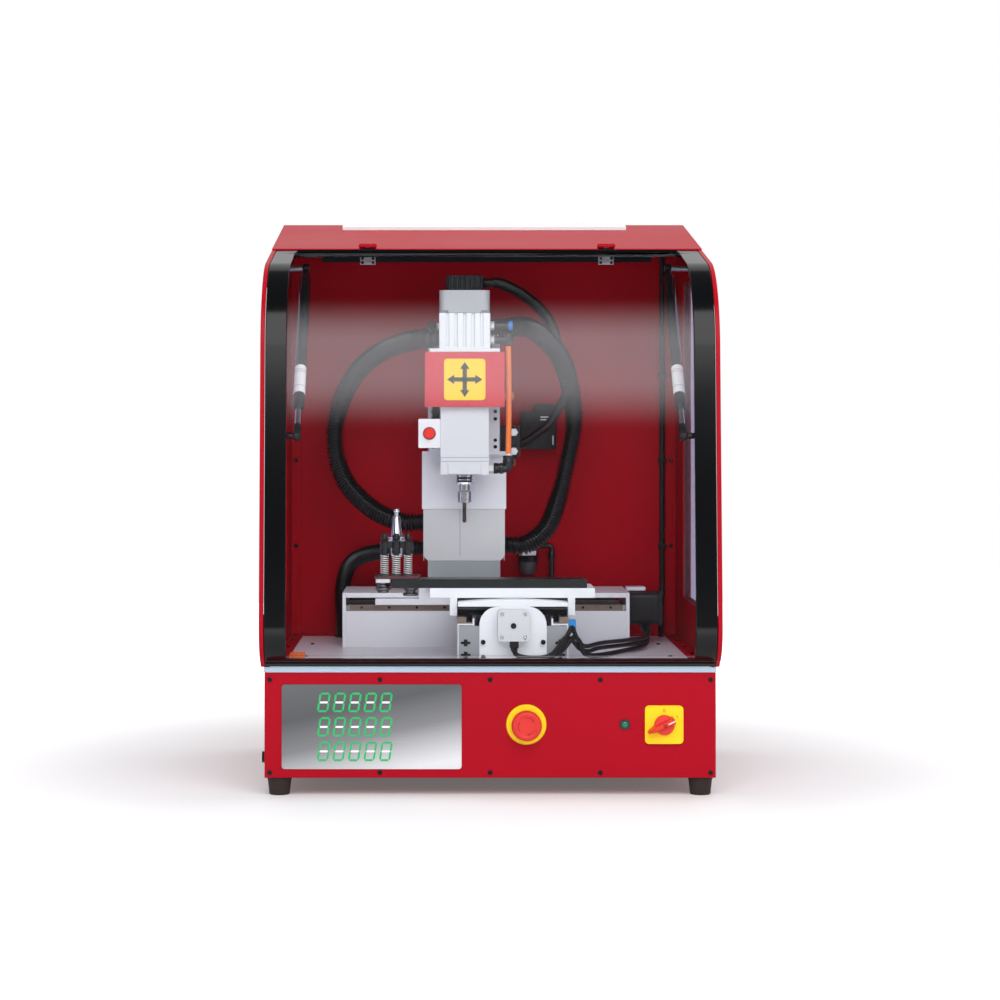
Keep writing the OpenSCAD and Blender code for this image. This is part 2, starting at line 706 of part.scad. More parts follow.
// Door leaves of the hinges, and the struts' lower studs on the door's sides
module door_fittings() {
    stud_end = strut_x + eye_w / 2 + 0.5;
    stud_base = door_half - 12;
    pane_d = chin[0] + (frame_t + pane_t - chin_r) / cos(lean) + (strut_low[1] - chin[1]) * tan(lean);
    color("dimgray") from_front() {
        for (sx = [-1, 1]) at_hinge(sx * hinge_x) difference() {
            union() {
                translate([-leaf_w / 2, -14, 0]) cube([leaf_w, 9, 2]);
                translate([-knuckle_w / 2 + 0.2, -6, 0]) cube([knuckle_w - 0.4, 6 - 1.2, hinge_lift - 1]);
                translate([-knuckle_w / 2 + 0.2, 0, hinge_lift]) rod_x(knuckle_r, knuckle_w - 0.4);
            }
            translate([-leaf_w, 0, hinge_lift]) rod_x(pin_r + run_gap, 2 * leaf_w);
        }
        both_sides() {
            across(stud_base - 14, stud_base) polygon([
                [pane_d - 12 * tan(lean), strut_low[1] - 12], [pane_d + 12 * tan(lean), strut_low[1] + 12],
                [strut_low[0] + 6, strut_low[1] + 7], [strut_low[0] + 6, strut_low[1] - 7]]);
            translate([stud_end, strut_low[0], strut_low[1]]) rod_x(stud_r, stud_base - stud_end - 1);
        }
    }
}

// Frame of a gas strut at rest: origin at its upper pivot, -z towards its lower pivot
module at_strut(side) {
    translate([side * strut_x, strut_top[0], strut_top[1]]) rotate([-strut_angle, 0, 0]) children();
}

cylinder_end = 282;
cavity_r = strut_r - 1.5;
module strut_cylinder(side) {
    at_strut(side) difference() {
        union() {
            translate([-eye_w / 2, 0, 0]) rod_x(eye_r, eye_w);
            translate([0, 0, -20]) cylinder(r = stud_r + 0.5, h = 20);
            translate([0, 0, -cylinder_end]) cylinder(r = strut_r, h = cylinder_end - 18);
        }
        translate([-eye_w, 0, 0]) rod_x(stud_r + run_gap, 2 * eye_w);
        translate([0, 0, -cylinder_end + 10]) cylinder(r = cavity_r, h = cylinder_end - 35);
        translate([0, 0, -cylinder_end - 1]) cylinder(r = strut_rod_r + run_gap, h = 20);
    }
}

module strut_rod(side) {
    top = -100;
    at_strut(side) difference() {
        union() {
            translate([-eye_w / 2, 0, -strut_len]) rod_x(eye_r, eye_w);
            translate([0, 0, -strut_len + 2]) cylinder(r = stud_r + 1, h = 18);
            translate([0, 0, -strut_len + 2]) cylinder(r = strut_rod_r, h = strut_len - 2 + top);
            translate([0, 0, top]) cylinder(r = cavity_r - run_gap, h = 6);
        }
        translate([-eye_w, 0, -strut_len]) rod_x(stud_r + run_gap, 2 * eye_w);
    }
}

module left_strut_cylinder() { color("dimgray") from_front() strut_cylinder(-1); }
module left_strut_rod() { color("silver") from_front() strut_rod(-1); }
module right_strut_cylinder() { color("dimgray") from_front() strut_cylinder(1); }
module right_strut_rod() { color("silver") from_front() strut_rod(1); }

// ---- Linear units ----

// Frames of the two units: y along the travel, x across, z from the top plate
module on_x_unit() {
    translate([0, x_mid_d, deck_z]) rotate([0, 0, -90]) children();
}

module on_y_unit() {
    translate([y_unit_x, y_mid_d, deck_z]) children();
}

module profile(len) {
    rotate([90, 0, 0]) linear_extrude(len, center = true) union() {
        translate([-half_unit, 0]) square([unit_w, 3]);
        translate([-inner_wall - unit_wall, channel_h - 3]) square([2 * (inner_wall + unit_wall), 3]);
        for (s = [0, 1]) mirror([s, 0]) {
            translate([half_unit - unit_wall, 0]) square([unit_wall, unit_h]);
            translate([inner_wall, unit_h - 2]) square([half_unit - inner_wall, 2]);
            translate([inner_wall, channel_h - 3]) square([unit_wall, upstand_h - channel_h + 3]);
            translate([30, 0]) square([3, channel_h - 1]);
        }
    }
}

module rail_pair(len) {
    holes = floor((len / 2 - 10) / rail_pitch);
    both_sides() difference() {
        translate([rail_x, -len / 2, unit_h]) cube([rail_w, len, rail_h]);
        for (i = [-holes : holes])
            translate([rail_x + rail_w - 4, i * rail_pitch, unit_h + rail_h / 2]) rod_x(1.7, 5);
    }
}

// Four bearing trucks, the cross plate and the nut of a moving carriage
module carriage_base(mid, reach) {
    inner = inner_wall + unit_wall + 0.5;
    difference() {
        union() {
            both_sides() for (y = [mid - reach, mid + reach]) {
                translate([inner, y - 20, rail_top + pass_gap])
                    cube([half_unit - inner, 40, truck_top - rail_top - pass_gap]);
                translate([inner, y - 20, unit_h + 1]) cube([rail_x - pass_gap - inner, 40, rail_h]);
            }
            translate([-inner - eps, mid - reach - 20, truck_top - cross_t])
                cube([2 * inner + 2 * eps, 2 * reach + 40, cross_t]);
            translate([0, mid - 20, screw_h]) rod_y(screw_shaft_r + 8, 40);
            translate([-10, mid - 20, screw_h]) cube([20, 40, truck_top - screw_h]);
        }
        translate([0, mid - reach - 21, screw_h]) rod_y(screw_shaft_r + run_gap, 2 * reach + 42);
    }
}

module ball_screw(len) {
    translate([0, -len / 2, screw_h]) rod_y(screw_shaft_r, len);
}

module axis_profiles() {
    color("gainsboro") from_front() {
        on_x_unit() profile(x_len);
        on_y_unit() profile(y_len);
    }
}

module guide_rails() {
    color("rosybrown") from_front() {
        on_x_unit() rail_pair(x_len - 10);
        on_y_unit() rail_pair(y_len - 10);
    }
}

// An arched strip over a unit, w wide, with its flat underside at z = h
module arched_cover(w, h, t, rise, len) {
    side_h = t - rise;
    arch_r = (w * w / 4 + rise * rise) / (2 * rise);
    half_turn = asin(w / 2 / arch_r);
    rotate([90, 0, 0]) linear_extrude(len, center = true) polygon(concat(
        [[w / 2, h], [w / 2, h + side_h]],
        arc([0, h + t - arch_r], arch_r, 90 - half_turn, 90 + half_turn, 16),
        [[-w / 2, h + side_h], [-w / 2, h]]));
}

// The end plates, the shaped motor plate and the strips over the two units
module unit_covers() {
    cover_half = half_unit - 0.5;
    plate_w = 91;
    color("whitesmoke") from_front() {
        on_x_unit() {
            for (s = [-1, 1]) difference() {
                translate([-half_unit, s * (x_len + end_t) / 2 - end_t / 2, 0])
                    cube([unit_w, end_t, x_cover_h + x_cover_t]);
                translate([0, s * (x_len + end_t) / 2 - end_t, screw_h]) rod_y(screw_shaft_r + run_gap, 2 * end_t);
            }
            translate([-cover_half, -x_len / 2, x_cover_h]) cube([2 * cover_half, x_len, x_cover_t]);
        }
        on_y_unit() {
            arched_cover(2 * cover_half, y_cover_h, y_cover_t, 4, y_len + 2 * end_t);
            difference() {
                translate([0, -y_len / 2, 0]) motor_plate(plate_w, y_cover_h, end_t);
                translate([0, -y_len / 2 - end_t - 1, screw_h]) rod_y(screw_shaft_r + run_gap, 2 * end_t);
                for (x = [-plate_w / 2 + 5, plate_w / 2 - 5], z = [8, 28.5])
                    translate([x, -y_len / 2 - end_t - 1, z]) rod_y(2.6, 4);
            }
            difference() {
                translate([0, y_len / 2 + end_t, 0]) motor_plate(plate_w, y_cover_h, end_t);
                translate([0, y_len / 2 - 1, screw_h]) rod_y(screw_shaft_r + run_gap, 2 * end_t);
            }
        }
    }
}

// A plate with two rounded top corners and a flat rest for the cover, its back face at y = 0
module motor_plate(w, h, t) {
    r = 25;
    rotate([90, 0, 0]) linear_extrude(t) union() {
        translate([-w / 2, 0]) square([w, h - r]);
        translate([-w / 2 + r, 0]) square([w - 2 * r, h]);
        for (s = [-1, 1]) translate([s * (w / 2 - r), h - r]) circle(r);
    }
}

module x_motor() {
    size = 50;
    color("black") from_front() on_x_unit() {
        translate([0, x_len / 2 + end_t, screw_h]) rotate([-90, 0, 0]) {
            rounded_plate(size, size, 6, 4);
            translate([0, 0, 5.9]) rounded_plate(size - 3, size - 3, 40, 8);
            translate([0, 0, 45.8]) rounded_plate(size, size, 6.2, 4);
        }
        translate([-half_unit + 30, x_len / 2 + end_t, truck_top - 18]) cube([20, 30, 16]);
        translate([8, x_len / 2 + end_t + 21, screw_h - size / 2 - 10]) cube([12, 12, 11]);
    }
}

module y_motor() {
    body = 24;
    color("silver") from_front() on_y_unit() translate([0, -y_len / 2 - end_t, screw_h]) rotate([90, 0, 0]) {
        difference() {
            rounded_plate(motor_w, motor_w, body, 4.5);
            for (x = [-1, 1], z = [-1, 1]) translate([x, z, 0] * motor_pitch / 2 + [0, 0, body - 1.5])
                cylinder(r = 2.3, h = 3);
            translate([0, 0, body - 1]) cylinder(r = 3.6, h = 3);
        }
        for (x = [-1, 1], z = [-1, 1]) translate([x, z, 0] * motor_pitch / 2 + [0, 0, body - 1.5])
            cylinder(r = 2, h = 1.4);
        translate([0, 0, body - 1]) cylinder(r = 2.5, h = 1.5);
    }
}

module x_screw() { color("silver") from_front() on_x_unit() ball_screw(x_len + 2 * (end_t - pass_gap)); }
module y_screw() { color("silver") from_front() on_y_unit() ball_screw(y_len + 2 * (end_t - pass_gap)); }

// ---- Column ----

x_reach = 40;
module x_carriage() {
    half = half_unit + pass_gap;
    skirt = 128;
    color("whitesmoke") from_front() translate([spindle_x, 0, 0]) on_x_unit() {
        carriage_base(0, x_reach);
        translate([-half - leg_t, -x_plate_w / 2, x_plate_h]) cube([2 * (half + leg_t), x_plate_w, x_plate_t]);
        both_sides() {
            translate([half, -x_plate_w / 2, rail_top + pass_gap])
                cube([leg_t, x_plate_w, x_plate_h - rail_top]);
            for (y = [-x_reach, x_reach]) translate([half_unit - 1, y - 20, rail_top + pass_gap])
                cube([pass_gap + 2, 40, truck_top - rail_top - pass_gap]);
            translate([half, -skirt, rail_top + pass_gap]) cube([leg_t, 2 * skirt, 9]);
        }
    }
}

module at_column() {
    translate([spindle_x, 0, 0]) children();
}

z_rail_x = 40;
z_rail_w = 10;
column_end_z = deck_z + column_top;
module column() {
    end_wall = 10;
    back = column_d + column_depth;
    color("gainsboro") from_front() at_column() {
        difference() {
            box(-column_w / 2, column_w / 2, column_d, back, column_z, column_end_z);
            box(-z_rail_x, z_rail_x, column_d - 1, back - column_wall, column_z + end_wall, column_end_z - end_wall);
            translate([0, z_screw_d, column_z - eps]) cylinder(r = screw_shaft_r + run_gap, h = column_top);
        }
        both_sides() box(z_rail_x, z_rail_x + z_rail_w, column_d - z_rail_t, column_d, column_z + 6, column_end_z - 4);
        translate([0, z_screw_d, column_end_z]) rounded_plate(42, 42, 46, 4);
    }
}

module z_screw() {
    color("silver") from_front() at_column()
        translate([0, z_screw_d, column_z + pass_gap])
            cylinder(r = screw_shaft_r, h = column_end_z - column_z - 2 * pass_gap);
}

// A folded guard: a front sheet from low to high, and two side flanges above flange_low
module guard(w, front, low, high, flange_low, flange_back) {
    box(-w / 2, w / 2, front, front + guard_t, low, high);
    both_sides() box(w / 2 - guard_t, w / 2, front, flange_back, flange_low, high);
}

guard_d = column_d - 23;
guard_step = guard_t + guard_gap;
module lower_guard() {
    color("lightgray") from_front() at_column()
        guard(column_w, guard_d + 2 * guard_step, column_z - 4, column_z + 52, column_z + pass_gap, column_d);
}

module middle_guard() {
    color("lightgray") from_front() at_column() difference() {
        guard(column_w + 13, guard_d + guard_step, column_z + 35, head_z - 33, column_z + 35, column_d + 4);
        for (s = [-1, 1]) translate([s * (column_w + 13) / 2, guard_d, column_z + 35])
            rotate([0, 45, 0]) cube([9, 12, 9], center = true);
    }
}

// ---- Head ----

module head_slide() {
    nut_z = head_z + 90;
    lip = 34;
    color("whitesmoke") from_front() at_column() difference() {
        union() {
            box(-slide_w / 2, slide_w / 2, slide_front_d, slide_back_d, slide_z, cover_top);
            both_sides() for (z = [slide_z + 6, cover_top - 46]) {
                box(lip, slide_w / 2, slide_back_d - eps, column_d - z_rail_t - pass_gap, z, z + 40);
                box(lip, z_rail_x - pass_gap, slide_back_d - eps, column_d - pass_gap, z, z + 40);
            }
            box(-16, 16, slide_back_d - eps, z_screw_d + 16, nut_z, nut_z + 34);
            guard(column_w + 17, guard_d, head_z - 51, slide_z, head_z - 51, column_d + 7);
            box(-column_w / 2 - 8, column_w / 2 + 8, slide_front_d + 2, slide_back_d, slide_z - 2, slide_z + 4);
        }
        translate([0, z_screw_d, nut_z - 1]) cylinder(r = screw_shaft_r + run_gap, h = 40);
        both_sides() for (z = [slide_z + 10.5, slide_z + 20, slide_z + 50.5, slide_z + 61])
            translate([slide_w / 2 - 5.5, slide_front_d - eps, z]) rod_y(2.7, 3);
    }
}

module spindle_housing() {
    half = housing_w / 2;
    back = slide_front_d;
    color("whitesmoke") from_front() at_column() difference() {
        union() {
            box(-half, half, housing_front_d, back, head_z, housing_top);
            box(-half, half, housing_front_d - 3, back, head_z, head_z + 26);
            box(-half + 11, half - 11, housing_front_d - 6, back, head_z + 1, head_z + 16);
            box(-half + 4, half - 4, housing_front_d + 4, back, housing_top - eps, cover_top);
        }
        translate([0, spindle_d, head_z - eps]) cylinder(r = spindle_r + run_gap, h = 150);
    }
}

module head_cover() {
    half = cover_w / 2;
    front = housing_front_d - 10;
    color("crimson") from_front() at_column() difference() {
        box(-half, half, front, slide_back_d, housing_top, cover_top);
        box(-half + sheet_t, half - sheet_t, front + sheet_t, slide_back_d + 1, housing_top - 1, cover_top + 1);
        for (s = [-1, 1]) translate([s * (half - 6), front - 1, housing_top + 6]) rod_y(1.6, 2 * sheet_t);
    }
}

module head_badge() {
    color("gold") from_front() at_column()
        translate([0, housing_front_d - 10, (housing_top + cover_top) / 2]) rotate([90, 0, 0])
            rounded_plate(badge_w, badge_w, 1, 5);
}

module spindle_motor() {
    w = motor_block_w;
    groove = 4;
    color("gainsboro") from_front() at_column() {
        difference() {
            union() {
                box(-49.5, 49.5, housing_front_d - 8, slide_back_d, cover_top, flange_top);
                translate([0, spindle_d, flange_top - eps]) rounded_plate(w, w, block_top - flange_top, 2);
            }
            for (a = [0, 90, 270], i = [-2 : 2]) translate([0, spindle_d, flange_top + 2]) rotate(a)
                translate([i * 12 - groove / 2, -w / 2 - 1, 0]) cube([groove, 5, block_top]);
        }
        difference() {
            translate([0, spindle_d, block_top]) rounded_plate(w - 1, w - 1, cap_top - block_top, 9);
            for (sx = [-1, 1]) translate([sx * (w / 2 - 8), spindle_d - w / 2, block_top - eps])
                cube([9, 9, 6], center = true);
        }
    }
}

top_motor_w = 53;
module top_motor() {
    w = top_motor_w;
    color("black") from_front() at_column() difference() {
        translate([0, spindle_d, cap_top]) rounded_plate(w, w, head_top - cap_top, 4);
        for (a = [0, 90, 180, 270], i = [-3 : 3]) translate([0, spindle_d, cap_top - 1]) rotate(a)
            translate([i * 7 - 1.5, -w / 2 - 1, 0]) cube([3, 3.5, 40]);
    }
}

button_r = 7.5;
box_w = 31;
box_h = 41;
box_z = head_z + 58;
module at_button() {
    translate([-housing_w / 2 - box_w / 2, housing_front_d - 4, box_z]) rotate([90, 0, 0]) children();
}

module button_box() {
    color("white") from_front() at_column() at_button() difference() {
        union() {
            translate([0, 0, -30]) rounded_plate(box_w, box_h, 30, 2);
            cylinder(r = button_r + 1.8, h = 1.5);
        }
        translate([0, 0, -12]) cylinder(r = button_r / 2 + run_gap, h = 20);
        translate([0, 0, -3]) cylinder(r = button_r + run_gap, h = 10);
    }
}

module head_button() {
    color("red") from_front() at_column() at_button() {
        translate([0, 0, -9]) cylinder(r = button_r / 2, h = 9);
        cylinder(r = button_r, h = 5);
        translate([0, 0, 5 - eps]) cylinder(r1 = button_r, r2 = button_r - 1, h = 1);
    }
}

module spindle() {
    nose = 8.5;
    holder_top = head_z - nose - 10;
    holder_low = holder_top - 18;
    tip = holder_low - 32.5;
    color("silver") from_front() at_column() translate([0, spindle_d, 0]) rotate_extrude($fn = 64) polygon([
        [0, tip], [tool_r, tip + 1.5], [tool_r, holder_low], [8, holder_low], [10, holder_low + 2],
        [10, holder_top - 3], [6, holder_top], [6, holder_top + 6], [12, holder_top + 8],
        [12, head_z - nose + 3], [10.5, head_z - nose + 3.5], [10.5, head_z - nose + 5],
        [12, head_z - nose + 5.5], [12, head_z - pass_gap - 0.5], [spindle_r, head_z - pass_gap - 0.5],
        [spindle_r, housing_top - 5], [0, housing_top - 5]]);
}

// Orange air line beside the head, with its black elbows
tube_x = 62;
tube_r = 4;
module air_tube() {
    low = head_z + 30;
    high = flange_top + 4;
    d = spindle_d - 4;
    side = housing_w / 2;
    color("orange") from_front() at_column() {
        translate([tube_x, d, low]) cylinder(r = tube_r, h = high - low);
        translate([tube_x, d, low - 24]) cylinder(r = 8, h = 24);
        translate([side, d, low - 18]) rod_x(8, tube_x - side);
        translate([tube_x, d, high]) cylinder(r = 7, h = 18);
        translate([motor_block_w / 2, d, high + 9]) rod_x(6.5, tube_x - motor_block_w / 2);
    }
}

// Corrugated hoses from the head to the column
hose_r = 14.5;
module head_hoses() {
    block = motor_block_w / 2;
    column_half = column_w / 2 + pass_gap;
    left_loop = [[spindle_x - block, 240, 616], [-76, 240, 616], [-84, 240, 616], [-106, 258, 614],
        [-147, 320, 602], [-184, 366, 576], [-209, 393, 537], [-222, 405, 493], [-222, 405, 456],
        [-215, 400, 427], [-198, 388, 397], [-162, 366, 366], [-122, 350, 350], [-104, 350, 350],
        [spindle_x - column_half, 350, 350]];
    right_loop = [[spindle_x + block, 236, 632], [18, 236, 632], [32, 236, 632], [60, 256, 632],
        [86, 300, 617], [110, 340, 590], [124, 365, 552], [131, 380, 509], [130, 385, 478],
        [122, 385, 440], [110, 380, 390], [90, 362, 340], [58, 350, 317], [40, 350, 317],
        [spindle_x + column_half, 350, 317]];
    top_hose = [[spindle_x + top_motor_w / 2, 230, 694], [6, 230, 694], [18, 230, 694], [50, 252, 680],
        [80, 280, 657], [98, 306, 630], [104, 328, 600]];
    branch = [[spindle_x + column_half, 330, 462], [34, 330, 462], [48, 330, 463], [75, 334, 480],
        [97, 342, 500], [122, 362, 545]];
    color("black") from_front() {
        tube(smooth_curve(left_loop, 2), hose_r);
        tube(smooth_curve(right_loop, 2), hose_r);
        tube(smooth_curve(top_hose, 2), 8);
        tube(smooth_curve(branch, 2), 7);
    }
}

// ---- Table ----

y_reach = 22;
y_mid = -y_mid_d + table_front_d + table_d / 2;
module table() {
    half = half_unit + pass_gap;
    right = table_w / 2;
    cut = 8;
    color("whitesmoke") from_front() on_y_unit() {
        carriage_base(y_mid, y_reach);
        translate([0, y_mid, table_h]) linear_extrude(table_t) polygon([[-right, -table_d / 2],
            [right, -table_d / 2], [right, table_d / 2 - cut], [right - cut, table_d / 2], [-right, table_d / 2]]);
        both_sides() {
            translate([half, y_mid - table_d / 2, rail_top + pass_gap])
                cube([leg_t, table_d, table_h - rail_top - pass_gap + eps]);
            for (y = [y_mid - y_reach, y_mid + y_reach]) translate([half_unit - 1, y - 20, rail_top + pass_gap])
                cube([pass_gap + 2, 40, truck_top - rail_top - pass_gap]);
        }
    }
}

module clamp_bar() {
    color([0.12, 0.12, 0.13]) from_front() difference() {
        box(-bar_w / 2, bar_w / 2, bar_front_d, bar_front_d + bar_d, bar_z, bar_z + bar_t);
        for (x = [30, 110]) translate([x, bar_front_d + bar_d / 2, bar_z + bar_t - 6]) cylinder(r = 5, h = 8);
        guide_holes();
    }
}

// The tool stand at the left end of the bar
post_x = -bar_w / 2 + 7;
post_d = bar_front_d + 16;
post_z = bar_z + bar_t + 4;
stand_x0 = -bar_w / 2 - 23;
stand_x1 = -bar_w / 2 + 40;
post_rod_r = 2;
guide_h = post_travel + 2;
function post_places() = [for (i = [-1 : 1]) [post_x + i * post_pitch, post_d + 2 * abs(i)]];
module guide_holes() {
    for (p = post_places()) translate([p[0], p[1], bar_z + bar_t - guide_h])
        cylinder(r = post_rod_r + run_gap, h = guide_h + 8);
}

holder_x = post_x;
holder_d = post_d + 24;
module tool_base() {
    washers = 5;
    color("lightgray") from_front() difference() {
        union() {
            box(stand_x0, stand_x1, bar_front_d + 1, bar_front_d + bar_d - 1, bar_z + bar_t, post_z);
            for (i = [0 : washers - 1]) translate([stand_x0 + 12, post_d + 8, bar_z + bar_t - 4 * (i + 1)])
                cylinder(r = i % 2 == 0 ? 10.5 : 8, h = 4 + eps);
            for (p = post_places()) translate([p[0], p[1], post_z - eps]) cylinder(r = post_r + 1, h = 2);
        }
        guide_holes();
    }
}

spring_h = 28;
sleeve_z = post_z + 2 + spring_h;
sleeve_h = 17;
module sprung_posts() {
    color("black") from_front() {
        for (p = post_places()) translate([p[0], p[1], 0]) {
            translate([0, 0, bar_z + bar_t + 0.5]) cylinder(r = post_rod_r, h = sleeve_z - bar_z - bar_t);
            translate([0, 0, sleeve_z]) cylinder(r = post_r, h = sleeve_h);
            translate([0, 0, sleeve_z + sleeve_h - 1]) cylinder(r = 3, h = 5);
            translate([0, 0, sleeve_z + sleeve_h + 6]) sphere(r = 5);
        }
        // The carrier that joins the three sleeves and holds the tool
        difference() {
            union() {
                box(post_places()[0][0], post_places()[2][0], post_d - 2, post_d + 4, sleeve_z + 4, sleeve_z + 12);
                box(holder_x - 5, holder_x + 5, post_d, holder_d, sleeve_z + 4, sleeve_z + 12);
                translate([holder_x, holder_d, sleeve_z + 4]) cylinder(r = 13, h = 8);
            }
            translate([holder_x, holder_d, sleeve_z]) cylinder(r = 9, h = 20);
        }
    }
}

module post_springs() {
    wire = 0.9;
    turns = 7;
    steps = 12;
    rise = spring_h - 2 * wire;
    r = post_r - wire;
    color("silver") from_front() for (p = post_places())
        translate([p[0], p[1], post_z + 2 + wire]) tube([for (i = [0 : turns * steps])
            [r * cos(360 * i / steps), r * sin(360 * i / steps), rise * i / (turns * steps)]],
            wire * 0.98, [0, 0, 1], 6);
}

module tool_holder() {
    flange_z = sleeve_z + 12;
    color("silver") from_front() translate([holder_x, holder_d, 0]) rotate_extrude($fn = 64) polygon([
        [0, flange_z - 22], [7, flange_z - 22], [8, flange_z - 20], [8, flange_z - 8], [9 - run_gap, flange_z - 8],
        [9 - run_gap, flange_z], [12, flange_z], [12, flange_z + 2], [10.5, flange_z + 3], [12, flange_z + 4],
        [12, flange_z + 6], [8, flange_z + 7], [4.5, flange_z + 34], [3, flange_z + 35], [3, flange_z + 40],
        [4, flange_z + 41], [4, flange_z + 43], [2.5, flange_z + 45], [0, flange_z + 45]]);
}

// ---- Services ----

module floor_hose() {
    route = [[spindle_x - column_w / 2 - pass_gap, 360, 312], [-100, 360, 312], [-116, 360, 312],
        [-150, 385, 306], [-183, 420, 297], [-203, 446, 281], [-213, 464, 252], [-215, 472, 222],
        [-214, 472, 198], [-214, 472, 185], [-214, 472, deck_z]];
    color("black") from_front() tube(smooth_curve(route, 3), 12);
}

// Water separator and valve on brackets on the rear wall
module air_unit() {
    back = base_d - sheet_t;
    color("dimgray") from_front() {
        box(54, 80, back - 44, back, deck_z + 125, deck_z + 150);
        translate([67, back - 22, deck_z + 112]) cylinder(r = 15, h = 13 + eps);
        translate([67, back - 22, deck_z + 92]) cylinder(r1 = 11, r2 = 14, h = 20 + eps);
        translate([80 - eps, back - 22, deck_z + 138]) rod_x(5, 26);
        translate([103, back - 22, deck_z + 96]) cylinder(r = 4, h = 42);
        box(56, 110, back - 36, back, deck_z + 284, deck_z + 342);
        translate([38, back - 31, deck_z + 365]) rod_y(3, 31 + eps);
        translate([38, back - 40, deck_z + 365]) rod_y(8.5, 10);
    }
}

module cables() {
    motor_lead = smooth_curve([[33, 36, 195], [33, 30, 190], [38, 25, 184], [55, 25, 181], [80, 30, 182],
        [98, 45, 190], [113, 60, 205], [122, 72, 200], [130, 85, 182], [150, 120, 176], [190, 190, 176],
        [226, 260, 178], [234, 310, 190], [234.5, 334, 196], [234.5, 343, 196], [234.5, 352, 196]], 2);
    wall_lead_d = 500;
    wall_x = liner_x - 23;
    wall_lead = smooth_curve([[wall_x, wall_lead_d, 788], [wall_x, wall_lead_d, 600], [wall_x, wall_lead_d, 309],
        [wall_x, 498, 250], [wall_x - 2, 488, 222], [wall_x - 4, 476, 200], [wall_x - 4, 474, 188],
        [wall_x - 4, 474, 180], [wall_x - 4, 474, deck_z]], 3);
    gland_z = base_z + 24;
    color("black") from_front() {
        tube(motor_lead, 3, [1, 0, 0], 8);
        tube(wall_lead, 4, [1, 0, 0], 8);
        translate([y_unit_x - 5, y_front_d - end_t - 24, deck_z + screw_h - motor_w / 2 - 9]) cube([12, 12, 9]);
        for (z = wall_bolt_z)
            box(wall_x - 6, wall_x + 6, wall_lead_d - 5.5, base_d - sheet_t, z - 3, z + 3);
        translate([-base_w / 2 - 5, 30, gland_z]) rod_x(7.5, 5);
    }
}

base_housing();
front_panel();
feet();
black_screws();
display_plate();
display_digits();
estop_collar();
estop_stem();
estop_button();
signal_lamp();
switch_plate();
switch_handle();
top_plate();
side_panels();
side_liners();
side_windows();
roof();
roof_panel();
rear_wall();
interlock_block();
fixed_fittings();
door_frame();
door_pane();
door_fittings();
left_strut_cylinder();
left_strut_rod();
right_strut_cylinder();
right_strut_rod();
axis_profiles();
guide_rails();
unit_covers();
x_motor();
y_motor();
x_screw();
y_screw();
x_carriage();
column();
z_screw();
lower_guard();
middle_guard();
head_slide();
spindle_housing();
head_cover();
head_badge();
spindle_motor();
top_motor();
button_box();
head_button();
spindle();
air_tube();
head_hoses();
table();
clamp_bar();
tool_base();
sprung_posts();
post_springs();
tool_holder();
floor_hose();
air_unit();
cables();
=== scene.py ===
import json
from math import atan2, cos, pi, radians, sin, tan

import bmesh
import bpy
from mathutils import Matrix, Vector


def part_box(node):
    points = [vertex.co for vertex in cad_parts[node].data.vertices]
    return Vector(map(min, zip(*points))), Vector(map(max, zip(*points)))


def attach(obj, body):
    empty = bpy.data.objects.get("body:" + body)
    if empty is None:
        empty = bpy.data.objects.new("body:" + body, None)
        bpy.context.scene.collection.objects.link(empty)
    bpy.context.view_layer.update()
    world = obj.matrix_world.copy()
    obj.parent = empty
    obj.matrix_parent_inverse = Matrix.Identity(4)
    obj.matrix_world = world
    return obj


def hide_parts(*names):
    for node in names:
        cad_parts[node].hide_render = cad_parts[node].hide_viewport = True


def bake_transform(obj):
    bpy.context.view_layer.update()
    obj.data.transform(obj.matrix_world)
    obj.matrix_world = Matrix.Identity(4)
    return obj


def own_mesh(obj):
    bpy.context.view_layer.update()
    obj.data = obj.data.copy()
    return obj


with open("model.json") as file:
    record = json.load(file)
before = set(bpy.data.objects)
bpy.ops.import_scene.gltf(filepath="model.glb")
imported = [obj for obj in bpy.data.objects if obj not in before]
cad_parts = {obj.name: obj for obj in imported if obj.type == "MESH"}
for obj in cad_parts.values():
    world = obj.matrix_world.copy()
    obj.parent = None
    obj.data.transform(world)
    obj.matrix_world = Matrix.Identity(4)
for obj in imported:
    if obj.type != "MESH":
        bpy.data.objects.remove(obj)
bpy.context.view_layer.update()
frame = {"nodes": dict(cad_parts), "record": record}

# ---- Base ----
# A folded steel box with a screwed front panel, powder coated in red. The pieces are copies of the
# solid parts with their sheet edges rounded; the coat has a fine orange peel and faint patches.


class Flow:
    """A socket of a node tree: sums on it add Math nodes, and node() adds any other node."""

    def __init__(self, tree, socket=None):
        self.tree, self.socket = tree, socket

    def node(self, kind, settings=None, inputs=None, out=0):
        made = self.tree.nodes.new(kind)
        for key, value in (settings or {}).items():
            if key == "stops":
                while len(made.color_ramp.elements) < len(value):
                    made.color_ramp.elements.new(1.0)
                for stop, (place, shade) in zip(made.color_ramp.elements, value):
                    stop.position, stop.color = place, shade
            else:
                setattr(made, key, value)
        for key, value in (inputs or {}).items():
            if isinstance(value, Flow):
                self.tree.links.new(value.socket, made.inputs[key])
            else:
                made.inputs[key].default_value = value
        return Flow(self.tree, made.outputs[out] if made.outputs else None)

    def maths(self, operation, a, b=0.0):
        return self.node("ShaderNodeMath", {"operation": operation}, {0: a, 1: b})

    def __add__(self, other):
        return self.maths("ADD", self, other)

    def __sub__(self, other):
        return self.maths("SUBTRACT", self, other)

    def __rsub__(self, other):
        return self.maths("SUBTRACT", other, self)

    def __mul__(self, other):
        return self.maths("MULTIPLY", self, other)

    __radd__ = __add__
    __rmul__ = __mul__


